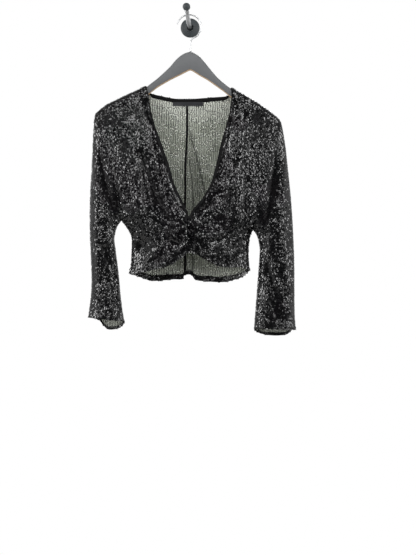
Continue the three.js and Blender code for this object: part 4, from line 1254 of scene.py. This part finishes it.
@dataclass
class Body:
    """Fronts, backs, their bands and hems.

    Attributes:
        rng: The seeded source of chance.
        front_hem: The share of the way down where the fronts' turned hem begins.
        back_hem: The same for the backs' wider hem, which also shows from inside.
        rows: Rows of points down a panel.
        columns: Columns of points across it.
        band_columns: Columns of points across the V's band.
        bare_rim: Stretches of the V's band: the width of its inner edge that has no discs, and the
            shares of the way down at which the stretch begins and ends.
        front_cut: The cut of a front, as it shows.
        back_cut: That of a back.
        band_cut: That of the band down one edge of the V.
        neck_cut: That of the back neck's band.
        label_cut: That of the label.
    """

    rng: np.random.Generator
    front_hem: float = 0.992
    back_hem: float = 0.973
    rows: int = 136
    columns: int = 76
    band_columns: int = 24
    bare_rim: tuple[tuple[float, float, float], ...] = ((2.4, 0.0, 0.36), (6.5, 0.36, V_BOTTOM))
    front_cut: Cut = Cut(0.25, 0.44, 0.058)
    back_cut: Cut = Cut(0.22, 0.45, 0.078)
    band_cut: Cut = Cut(0.016, 0.46, 0.0071)
    neck_cut: Cut = Cut(0.0115, 0.2, 0.0023)
    label_cut: Cut = Cut(0.0715, 0.0115, 0.0008)

    def row_places(self) -> Array:
        """Shares down a panel: close over the hanger's edge, then nearly even."""
        s = np.linspace(0, 1, self.rows)
        hems = [np.linspace(start, 1, 6) for start in (self.front_hem, self.back_hem)]
        return np.unique(np.concatenate([[0.0006, 0.0018, 0.0034], 0.62 * s + 0.38 * s**2, *hems]))

    def front_grid(self, side: Side, start: float, end: float | None, count: int) -> Grid:
        """Part of a front.

        Args:
            side: The side of the blouse.
            start: Distance from the V edge at which the part begins, in millimetres.
            end: Where it ends, or None for the side seam.
            count: Columns of points.

        Returns:
            The surface.
        """
        v = self.row_places()[:, None]
        t = np.linspace(0, 1, count)[None]
        first = band_share(side, v, start)
        if end is None:
            # closer together towards the side seam, where the cloth turns away
            u = first + (1 - first) * (0.45 * t + 0.55 * np.sin(t * math.pi / 2))
        else:
            u = mix(first, band_share(side, v, end), t)
        x, z = front_outline(side, u, np.broadcast_to(v, u.shape))
        points = np.stack([x, body_y(Region.FRONT, x, z), z], -1)
        return Grid.from_points(points, -1, v)

    def back_grid(self, side: Side) -> Grid:
        """A back, below its neck band."""
        v = self.row_places()[:, None]
        even = np.linspace(0, 1, self.columns)
        corner = np.linspace(side.neck_u - 0.03, side.neck_u + 0.06, 12)
        u = np.unique(np.round(np.concatenate([even, corner, [0.975, 0.99]]), 5))[None]
        band = back_band_share(side, u, NECK_BAND_HEIGHT + SEAM_GAP)
        down = band + (1 - band) * v
        x, z = back_outline(side, np.broadcast_to(u, down.shape), down)
        points = np.stack([x, body_y(Region.BACK, x, z), z], -1)
        return Grid.from_points(points, 1, v)

    @staticmethod
    def hem(name: str, grid: Grid, start: float, ring: bool = False) -> bpy.types.Object:
        """A turned hem that rounds the lower edge.

        Args:
            name: The piece's name.
            grid: The cloth's surface.
            start: The share of the way down where the hem begins.
            ring: True if the grid closes on itself.

        Returns:
            The hem.
        """
        part = grid.rows(start, 1)
        t = (part.down[:, :1] - part.down[0, 0]) / (1 - part.down[0, 0])
        swell = 0.2 + 0.45 * np.sin(np.clip(t, 0, 1) * math.pi) ** 0.6
        made = Maker.shell(name, part, swell, CLOTH + 0.1 + swell, BAND_FINISHES, ring)
        return made

    def build_front(self, side: Side) -> None:
        """Makes one front with its band, hem and sequins."""
        grid = self.front_grid(side, BAND_WIDTH + BAND_GAP, None, self.columns)
        cloth = Maker.shell(f"front_cloth_{side.name}", grid, 0, CLOTH, CLOTH_FINISHES)
        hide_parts(f"front_{side.name}")
        hem = self.hem(f"front_hem_{side.name}", grid, self.front_hem)
        covered = [grid, *self.over_band(side), *self.over_hem(grid, self.front_hem)]
        discs = SEQUINNING.sew(f"front_sequins_{side.name}", covered, self.rng)
        self.build_band(side)

    def over_band(self, side: Side) -> list[Grid]:
        """The parts of the V's band that discs lie on: nearly all of it above, its outer rim below."""
        parts = []
        for start, low, high in self.bare_rim:
            grid = self.front_grid(side, start, BAND_WIDTH + BAND_GAP, 5).rows(low, high)
            parts.append(replace(grid, points=grid.lifted(1.1)))
        return parts

    @staticmethod
    def over_hem(grid: Grid, start: float) -> list[Grid]:
        """Both sides of the turned hem, which discs lie on down to its edge."""
        part = grid.rows(start, 1)
        inside = replace(part, points=part.lifted(-CLOTH - 0.8), out=-part.out)
        return [replace(part, points=part.lifted(0.7)), inside]

    def build_band(self, side: Side) -> None:
        """Makes the smooth band down one edge of the V, gathered where it runs into the knot."""
        grid = self.front_grid(side, 0, BAND_WIDTH, self.band_columns)
        t = np.linspace(0, 1, self.band_columns)[None]
        v = grid.down
        roll = 0.35 + 0.85 * np.sin(math.pi * t) ** 0.7
        # a stitched groove along its outer half, and below the chest a ridge where it is pulled
        groove = -0.5 * np.exp(-(((t - 0.62) / 0.08) ** 2)) * smooth(0.12, 0.3, v)
        crease = groove + 1.1 * np.exp(-(((t - 0.36) / 0.07) ** 2)) * smooth(0.3, 0.36, v)
        gather = 0.55 * np.sin(grid.points[..., 2] * 2 * math.pi / 5.5 + 5 * t) * smooth(0.6, 0.72, v)
        band = Maker.shell(
            f"neckline_band_{side.name}", grid, roll + crease + gather, CLOTH + 0.4 * roll,
            BAND_FINISHES)
        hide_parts(f"neck_band_{side.name}")

    def build_back(self, side: Side) -> None:
        """Makes one back with its hem and sequins."""
        grid = self.back_grid(side)
        cloth = Maker.shell(f"back_cloth_{side.name}", grid, 0, CLOTH, CLOTH_FINISHES)
        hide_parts(f"back_{side.name}")
        hem = self.hem(f"back_hem_{side.name}", grid, self.back_hem)
        covered = [grid, *self.over_hem(grid, self.back_hem)]
        discs = SEQUINNING.sew(f"back_sequins_{side.name}", covered, self.rng)
        tape = [self.build_tape()] if side.sign < 0 else []

    def build_neck(self) -> None:
        """Makes the band of the back neck, and the label."""
        rows, columns, above, below = 11, 44, -0.4, 1.09
        parts = []
        for side in (LEFT, RIGHT):
            u = np.linspace(0, side.neck_u + 0.01, columns)
            u = u[::-1] if side.sign < 0 else u[1:]
            t = np.linspace(above, below, rows)[:, None]
            down = t * back_band_share(side, u[None], NECK_BAND_HEIGHT)
            parts.append(back_outline(side, np.broadcast_to(u[None], down.shape), down))
        x, z = (np.concatenate(values, axis=1) for values in zip(*parts))
        points = np.stack([x, body_y(Region.BACK, x, z), z], -1)
        t = np.linspace(0, 1, rows)[:, None]
        grid = Grid.from_points(points, 1, t)
        roll = 0.4 + 0.8 * np.sin(math.pi * t) ** 0.6 + 0 * x
        band = Maker.shell("back_neck_binding", grid, roll, CLOTH + roll, BAND_FINISHES)
        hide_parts("back_neck_band")
        discs = SEQUINNING.sew("back_neck_sequins", [replace(grid, points=grid.lifted(1.2))], self.rng)
        self.build_label()

    def build_tape(self) -> bpy.types.Object:
        """Makes the narrow tape over the centre-back seam, which shows on the inside."""
        half, top, bottom, rows = 2.7, -189.9, -597.0, 190
        t = np.linspace(-1, 1, 9)[None]
        z = np.linspace(top, bottom, rows)[:, None]
        v = (z - LEFT.back_top["z"][0]) / (LEFT.back_hem["z"][0] - LEFT.back_top["z"][0])
        frayed = 0.35 * np.sin(z * 2 * math.pi / 6.3) * np.sin(z * 2 * math.pi / 41)
        x = centre_back(v) + half * t + frayed + 0.4 * np.sin(z / 23)
        z = z + 0 * x
        points = np.stack([x, body_y(Region.BACK, x, z), z], -1)
        grid = Grid.from_points(points, 1, np.linspace(0, 1, rows))
        roll = CLOTH + 0.35 + 0.5 * np.sqrt(np.maximum(1 - t**2, 0)) + 0 * x
        tape = Maker.shell("centre_back_tape", grid, -0.5, roll, BAND_FINISHES)
        return tape

    def build_label(self) -> None:
        """Makes the blank label under the back neck's band."""
        left, right, top, bottom, thick, rows = -40.5, 31.5, -186.4, -195.6, 0.8, 14
        x, z = np.meshgrid(np.linspace(left, right, 70), np.linspace(top, bottom, rows))
        points = np.stack([x, body_y(Region.BACK, x, z) - CLOTH - 0.9, z], -1)
        grid = Grid.from_points(points, -1, np.linspace(0, 1, rows))
        across = np.minimum(x - left, right - x)
        along = np.minimum(top - z, z - bottom)
        fold = 0.25 * np.exp(-((across / 1.5) ** 2)) + 0.2 * np.exp(-((along / 1.2) ** 2))
        label = Maker.shell("neck_label", grid, thick / 2 + fold, thick / 2, (SATIN, SATIN, SATIN))
        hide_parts("label")

    def build(self) -> None:
        """Makes the whole body."""
        for side in (LEFT, RIGHT):
            self.build_front(side)
            self.build_back(side)
        self.build_neck()


@dataclass
class Knot:
    """The twisted bundle at centre front.

    Attributes:
        rng: The seeded source of chance.
        lift: Its back above the bands.
        depth: How far it stands out.
        edge: How far its edges stand out from its back.
        strands: Strands across it.
        slant: Turns of the strands for each millimetre down.
        groove: Depth of the grooves between them, as a share.
        top: The share of the way down a front at which it begins.
        rows: Rows of points down it.
        columns: Columns of points across it.
        cut: The cut of its cloth, as it shows.
    """

    rng: np.random.Generator
    lift: float = 1.6
    depth: float = 15.0
    edge: float = 1.2
    strands: int = 3
    slant: float = 0.055
    groove: float = 0.34
    top: float = 0.77
    rows: int = 80
    columns: int = 49
    cut: Cut = Cut(0.06, 0.1, 0.005)

    def build(self) -> None:
        """Makes the bundle and its sequins."""
        v = np.linspace(self.top, 1, self.rows)[:, None]
        across = np.linspace(-1, 1, self.columns)[None]
        parts = []
        for side, chosen in ((LEFT, across[across < 0]), (RIGHT, across[across >= 0])):
            u = np.abs(chosen)[None] * band_share(side, v, BAND_WIDTH)
            parts.append(front_outline(side, u, np.broadcast_to(v, u.shape)))
        x, z = (np.concatenate(values, axis=1) for values in zip(*parts))
        down = np.linspace(0, 1, self.rows)[:, None]
        swell = np.sin(math.pi * mix(0.12, 0.93, down)) ** 0.7
        strand = np.cos(math.pi * (self.strands * across * 0.5 + z * self.slant))
        fine = 0.06 * np.cos(math.pi * (7 * across + z * 0.11))
        round_off = np.sqrt(np.maximum(1 - across**2, 0))
        bulge = round_off * (1 - self.groove * np.abs(strand) ** 1.4 + fine)
        back = body_y(Region.FRONT, x, z) - self.lift
        front = np.stack([x, back - self.edge - self.depth * swell * bulge, z], -1)
        grid = Grid.from_points(front, -1, down)
        cloth = Maker.shell("front_knot", grid, 0, CLOTH, (MESH_KNIT, MESH_KNIT, MESH_KNIT))
        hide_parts("knot")
        discs = SEQUINNING.sew("knot_sequins", [grid], self.rng)


@dataclass
class Sleeve:
    """One sleeve: a tube that starts as the armhole and turns down to the cuff.

    Attributes:
        side: The side of the blouse.
        rng: The seeded source of chance.
        rings: Rings of points down the sleeve.
        half: Columns in each of its two layers.
        hem: The share of the way down where the cuff's hem begins.
        cut: The cut of the sleeve, all the way round.
    """

    side: Side
    rng: np.random.Generator
    rings: int = 150
    half: int = 46
    hem: float = 0.988
    cut: Cut = Cut(0.34, 0.56, 0.096)

    def point(self, k: Array, degrees: Array) -> Array:
        """Places in the sleeve.

        Args:
            k: Rows of the sleeve's table, 0 at the armhole.
            degrees: Round the ring: 0 at the outer edge, under 180 in front.

        Returns:
            The places.
        """
        side = self.side
        angle = np.radians(degrees)
        along = (1 + np.cos(angle)) / 2
        bulge = np.abs(np.sin(angle))
        is_front = degrees < 180
        arm_z = mix(side.underarm_z, side.top_z, along)
        arm_x = side.outer_x(arm_z)

        def at(column: str) -> Array:
            """A column of the sleeve's table."""
            return curve(side.sleeve, "k", column, k)

        blend = at("blend")
        joined = 1 - smooth(0, 1, k)
        x = mix(mix(at("ix"), at("ox"), along), arm_x, joined)
        inner = 1 - smooth(*side.cuff, along)
        z = mix(mix(at("iz"), at("oz"), along), arm_z, joined)
        z = z - np.where(is_front, 0, at("drop") * bulge * inner)
        depths = []
        for region, lens in ((Region.FRONT, at("front")), (Region.BACK, at("back"))):
            fold = (fold_height(region, x, z) + ripple(x, z)) * bulge * blend
            arm_depth = body_depth(region, arm_x, arm_z)
            depths.append(mix(arm_depth, lens * bulge**0.9, blend) + fold)
        depth = np.where(is_front, -depths[0], depths[1]) * np.where(degrees % 180 == 0, 0, 1)
        return np.stack([x, PLANE_Y + depth, z], -1)

    def build(self) -> None:
        """Makes the tube, the cuff's hem and the sequins."""
        name = self.side.name
        s = np.linspace(0, 1, self.half + 1)
        # closer together at the sleeve's two edges, and near the armhole
        front = 180 * (s - 0.1 * np.sin(2 * math.pi * s))
        degrees = np.concatenate([front, (360 - front[1:-1])[::-1]])[None]
        r = np.linspace(0, 1, self.rings)
        even = np.where(r < 0.3, r * 0.8, mix(0.24, 1, (r - 0.3) / 0.7))
        last = self.side.sleeve["k"][-1]
        k = last * np.unique(np.concatenate([even, np.linspace(self.hem, 1, 6)]))[:, None]
        points = self.point(k + 0 * degrees, degrees + 0 * k)
        ring = Grid.from_points(points, 0, k / last, ring=True)
        halves = [ring.columns(np.arange(self.half + 1))]
        back = np.append(0, np.arange(self.half, 2 * self.half)[::-1])
        halves.append(ring.columns(back))
        for half in halves:
            half.cloth = Grid.from_points(half.points, -1, k / last).cloth
        ring.cloth = np.concatenate([halves[0].cloth, halves[1].cloth[:, 1:-1][:, ::-1]], axis=1)
        tube = Maker.shell(
            f"sleeve_cloth_{name}", ring, 0, CLOTH, SLEEVE_FINISHES, ring=True)
        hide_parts(f"sleeve_{name}")
        hem = Body.hem(f"cuff_hem_{name}", ring, self.hem, ring=True)
        edges = [edge for half in halves for edge in Body.over_hem(half, self.hem)]
        discs = SEQUINNING.sew(f"sleeve_sequins_{name}", [*halves, *edges], self.rng)


@dataclass
class Hanger:
    """The shaped wooden bar and its wire hook.

    Attributes:
        low_corner: Rounding of the bar's lower edges, in millimetres.
        top_corner: Rounding of its upper edges.
        wire: Radius of the hook's wire.
        ring: Radius of the hook's circle.
        bar: Upper and lower edge of the bar and half its depth, from tip to tip.
    """

    low_corner: float = 2.0
    top_corner: float = 4.6
    wire: float = 1.6
    ring: float = 28.4
    bar: Table = field(default_factory=lambda: table(
        "x top bottom half",
        [-214.5, -219.5, -225.5, 2.6], [-212, -216, -230, 4.6], [-205, -209, -228, 6.2],
        [-195, -199.6, -221, 6.2], [-150, -175.4, -199, 6.2], [-108, -157.5, -178, 6.2],
        [-101, -152.9, -174, 6.2], [-89, -143.5, -164, 6.2], [-74.8, -132.5, -153.2, 6.2],
        [-46.5, -106.1, -136.7, 6.2], [-32.4, -89.6, -129.6, 6.2], [-18.3, -77.8, -122.6, 6.2],
        [-6, -72.2, -116.2, 6.2], [1.8, -71, -113.4, 6.2], [10, -73.6, -117.4, 6.2],
        [24.2, -83, -126.5, 6.2], [38.3, -99, -134.3, 6.2], [52.4, -116.5, -143.8, 6.2],
        [66.6, -132.5, -153.8, 6.2], [80.7, -144.8, -164, 6.2], [98, -157.8, -178, 6.2],
        [137, -179.6, -202, 6.2], [163, -195.9, -218, 6.2], [180, -208.2, -230, 6.2],
        [188, -216.5, -236, 6.2], [196, -224.5, -240, 6.2], [202.5, -231, -242, 4.6],
        [205, -236, -240.5, 2.6]))

    def section(self, top: Array, bottom: Array, half: Array) -> tuple[Array, Array]:
        """The bar's section: y and z round it, with small lower and large upper corners."""
        ys, zs = [], []
        for quarter in range(4):
            angle = np.radians(np.linspace(0, 90, 7) + 90 * quarter)[None]
            wanted = self.top_corner if quarter < 2 else self.low_corner
            corner = np.minimum(wanted, np.minimum(half, (top - bottom) / 2))
            level = top - corner if quarter < 2 else bottom + corner
            inset = (half - corner) * (1 if quarter in (0, 3) else -1)
            ys.append(inset + corner * np.cos(angle))
            zs.append(level + corner * np.sin(angle))
        return np.concatenate(ys, axis=1), np.concatenate(zs, axis=1)

    def build(self) -> None:
        """Makes the bar and the hook."""
        first, last = self.bar["x"][[0, -1]]
        near_tips = [first + 0.5, first + 1.5, last - 1, last - 1.4]
        x = np.unique(np.concatenate([np.linspace(first, last, 170), near_tips]))[:, None]
        top, bottom, half = (curve(self.bar, "x", column, x) for column in ("top", "bottom", "half"))
        y, z = self.section(top, bottom, half)
        points = np.stack([x + 0 * y, PLANE_Y + y, z], -1)
        count = points.shape[1]
        flat = points.reshape(-1, 3)
        faces = Maker.quads(len(x), count, True)
        ends = np.stack([np.arange(count)[::-1], np.arange(count) + len(flat) - count])
        corner = flat[faces]
        turned = unit(np.cross(corner[:, 2] - corner[:, 0], corner[:, 3] - corner[:, 1]))
        if np.sum(turned[:, 1] * (corner[..., 1].mean(axis=1) - PLANE_Y)) < 0:
            faces, ends, turned = faces[:, ::-1], ends[:, ::-1], -turned
        under = (turned[:, 2] < -0.55).astype(int)
        slots = np.concatenate([under, np.zeros(2, int)])
        bar = Maker.piece("shaped_hanger", flat, [faces, ends], [PAINT, BEECH], slots)
        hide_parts("hanger")
        self.build_hook()

    def build_hook(self) -> None:
        """Makes the stem, the bend and the open circle, with a rounded tip, and a small ferrule."""
        middle_x, middle_z, stem_x, foot = -1.2, -11.3, 1.8, -70.6
        stem = [[stem_x, foot], [stem_x, -62], [stem_x, -52], [stem_x + 1.6, -44.5]]
        arc = np.radians(np.arange(-72, 169, 12))
        circle = np.stack([middle_x + self.ring * np.cos(arc), middle_z + self.ring * np.sin(arc)], -1)
        line = np.concatenate([stem, circle])
        steps = np.arange(len(line), dtype=float)
        rows = {"step": steps, "x": line[:, 0], "z": line[:, 1]}
        at = np.linspace(0, steps[-1], 220)
        x, z = (curve(rows, "step", column, at) for column in ("x", "z"))
        path = np.stack([x, np.full_like(x, PLANE_Y), z], -1)
        left = np.linalg.norm(path - path[-1], axis=1)
        radii = self.wire * np.sqrt(np.clip(1 - (1 - np.clip(left / self.wire, 0, 1)) ** 2, 0.02, 1))
        hook = Maker.tube("hook_wire", path, radii, WIRE_PLATING)
        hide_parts("hanger_hook")
        profile = np.array([
            [0, 0], [3.4, 0], [3.7, 0.3], [3.7, 1.2], [3.3, 1.7], [2.4, 2.2], [1.7, 2.4], [0, 2.4]])
        foot_place = [stem_x, PLANE_Y, foot - 0.9]
        ferrule = Maker.lathe("hook_ferrule", profile, (foot_place, [0, 0, 1]), WIRE_PLATING)


@dataclass
class WallHook:
    """Round plate, a peg that curves up and a ball on its end.

    Attributes:
        plate: Radius of the plate, in millimetres.
        peg: Radius of the peg.
        reach: Distance from the wall to the peg's end.
        rise: Height of its end.
        lean: How far its end stands to the left.
        power: How late it curves up.
        ball: Radius of the ball.
        seat: Radius of the ball's flat on the peg's end.
        start: The share of the way out at which the peg begins, inside the plate's rim.
    """

    plate: float = 23.0
    peg: float = 5.5
    reach: float = 80.0
    rise: float = 22.5
    lean: float = -6.5
    power: float = 2.4
    ball: float = 9.0
    seat: float = 5.0
    start: float = 0.105

    def peg_path(self, count: int) -> Array:
        """The peg's middle line."""
        share = np.linspace(self.start, 1, count)
        return np.stack([self.lean * share, -self.reach * share, self.rise * share**self.power], -1)

    def build(self) -> None:
        """Makes the three pieces."""
        r = self.plate
        profile = np.array([
            [0, 0], [r - 0.6, 0], [r, 0.5], [r, 3], [r - 0.3, 4], [r - 1.1, 4.9], [r - 2.3, 5.6],
            [17.5, 6.5], [13.2, 7.6], [12, 8], [11, 8.35], [9.6, 8.7], [8, 9], [0, 9]])
        plate = Maker.lathe("wall_rosette", profile, ([0, 0, 0], [0, -1, 0]), COAT)
        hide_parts("wall_plate")
        path = self.peg_path(60)
        peg = Maker.tube("curved_peg", path, np.full(len(path), self.peg), PEG_METAL, sides=36)
        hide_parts("peg")
        way = unit(path[-1] - path[-2])
        seat = math.asin(self.seat / self.ball)
        turn = np.linspace(seat, math.pi, 40)
        low = self.ball * math.cos(seat)
        arc = np.stack([self.ball * np.sin(turn), low - self.ball * np.cos(turn)], -1)
        arc[-1, 0] = 0
        profile = np.concatenate([[[0, 0]], arc])
        knob = Maker.lathe("peg_knob", profile, (path[-1] + way * SEAM_GAP, way), COAT)
        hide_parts("peg_ball")


@dataclass(frozen=True)
class Lamp:
    """A soft box: where it stands and its width and height in metres, and its power in watts."""

    name: str
    place: tuple[float, float, float]
    width: float
    height: float
    power: float


@dataclass
class Studio:
    """Camera, world, lamps and floor.

    Attributes:
        camera_place: Where the camera stands, in metres.
        lens: Focal length for a frame 36 mm high.
        aim: The point that the lamps look at.
        lamps: The lamps.
    """

    camera_place: tuple[float, float, float] = (0.043, -2.26, -0.602)
    lens: float = 60.7
    aim: Vector = field(default_factory=lambda: Vector((0, -0.055, -0.4)))
    lamps: tuple[Lamp, ...] = (
        Lamp("front_box", (0.0, -2.0, 0.75), 0.9, 0.65, 10),
        Lamp("back_box", (0.3, 1.9, 0.75), 0.9, 0.65, 12),
        Lamp("back_strip", (-1.3, 1.7, 0.2), 0.3, 1.3, 8),
        Lamp("strip_left", (-1.15, -1.9, 0.2), 0.25, 1.3, 4),
        Lamp("strip_far_left", (-1.85, -1.1, 0.1), 0.3, 1.5, 17),
        Lamp("strip_right", (1.15, -1.9, 0.2), 0.25, 1.3, 4),
        Lamp("strip_far_right", (1.85, -1.1, 0.1), 0.3, 1.5, 12),
    )

    def build_camera(self) -> None:
        """Makes the camera at the photograph's viewing angle."""
        data = bpy.data.cameras.new("view")
        data.lens = self.lens
        data.sensor_width = 36
        camera = bpy.data.objects.new("view", data)
        camera.location = self.camera_place
        camera.rotation_euler = (math.radians(90), 0, 0)
        bpy.context.scene.collection.objects.link(camera)
        bpy.context.scene.camera = camera

    def build_world(self) -> None:
        """White paper behind the blouse, and a softer room all round for everything else."""
        world = bpy.data.worlds.new("studio")
        bpy.context.scene.world = world
        world.use_nodes = True
        tree = world.node_tree
        tree.nodes.clear()
        way = add_node(tree, "ShaderNodeTexCoord").outputs["Generated"]
        parts = add_node(tree, "ShaderNodeSeparateXYZ", {}, {0: way}).outputs
        sides = Finish.step(tree, Finish.sums(tree, "ABSOLUTE", parts[0]), 0.3, 0.95, 0, 0.75)
        behind = Finish.step(tree, parts[1], -0.2, 0.6, 0, 1.0)
        above = Finish.step(tree, parts[2], 0.1, 0.9, 0, 0.3)
        panes = Finish.step(tree, Finish.noise(tree, way, 140), 0.47, 0.57, 0.12, 1)
        behind = Finish.sums(tree, "MULTIPLY", behind, panes)
        room = Finish.sums(tree, "ADD", Finish.sums(tree, "ADD", sides, behind), above)
        room = Finish.sums(tree, "ADD", room, 0.05)
        soft = add_node(tree, "ShaderNodeBackground", {}, {"Strength": room})
        paper = add_node(tree, "ShaderNodeBackground", {}, {"Color": (1, 1, 1, 1), "Strength": 1.0})
        seen = add_node(tree, "ShaderNodeLightPath").outputs["Is Camera Ray"]
        inputs = {0: seen, 1: soft.outputs[0], 2: paper.outputs[0]}
        both = add_node(tree, "ShaderNodeMixShader", {}, inputs)
        add_node(tree, "ShaderNodeOutputWorld", {}, {"Surface": both.outputs[0]})

    def build_lamps(self) -> None:
        """Makes the lamps."""
        for lamp in self.lamps:
            data = bpy.data.lights.new(lamp.name, "AREA")
            data.shape = "RECTANGLE"
            data.size, data.size_y = lamp.width, lamp.height
            data.energy = lamp.power
            light = bpy.data.objects.new(lamp.name, data)
            light.location = lamp.place
            light.rotation_mode = "QUATERNION"
            light.rotation_quaternion = (self.aim - Vector(lamp.place)).to_track_quat("-Z", "Y")
            light.visible_camera = False
            bpy.context.scene.collection.objects.link(light)

    def build_floor(self) -> None:
        """Makes the pale floor, well below the photograph's frame."""
        height, near, far, half = -1.6, -1.0, 1.0, 2.4
        corners = [(-half, near), (half, near), (half, far), (-half, far)]
        mesh = bpy.data.meshes.new("studio_floor")
        mesh.from_pydata([(x, y, height) for x, y in corners], [], [(0, 1, 2, 3)])
        mesh.materials.append(FLOOR.material())
        floor = bpy.data.objects.new("studio_floor", mesh)
        bpy.context.scene.collection.objects.link(floor)

    def build(self) -> None:
        """Sets the studio up."""
        bpy.context.scene.view_settings.view_transform = "Standard"
        self.build_camera()
        self.build_world()
        self.build_lamps()
        self.build_floor()


def write_sizes() -> None:
    """Brings the scene's placements up to date."""
    bpy.context.view_layer.update()


def main() -> None:
    """Builds the blouse, its hanger, the wall hook and the studio."""
    logging.basicConfig(level=logging.INFO, format="%(name)s: %(message)s")
    rng = np.random.default_rng(SEED)
    Studio().build()
    WallHook().build()
    Hanger().build()
    Body(rng).build()
    Knot(rng).build()
    for side in (LEFT, RIGHT):
        Sleeve(side, rng).build()
    write_sizes()


if __name__ == "__main__":
    main()
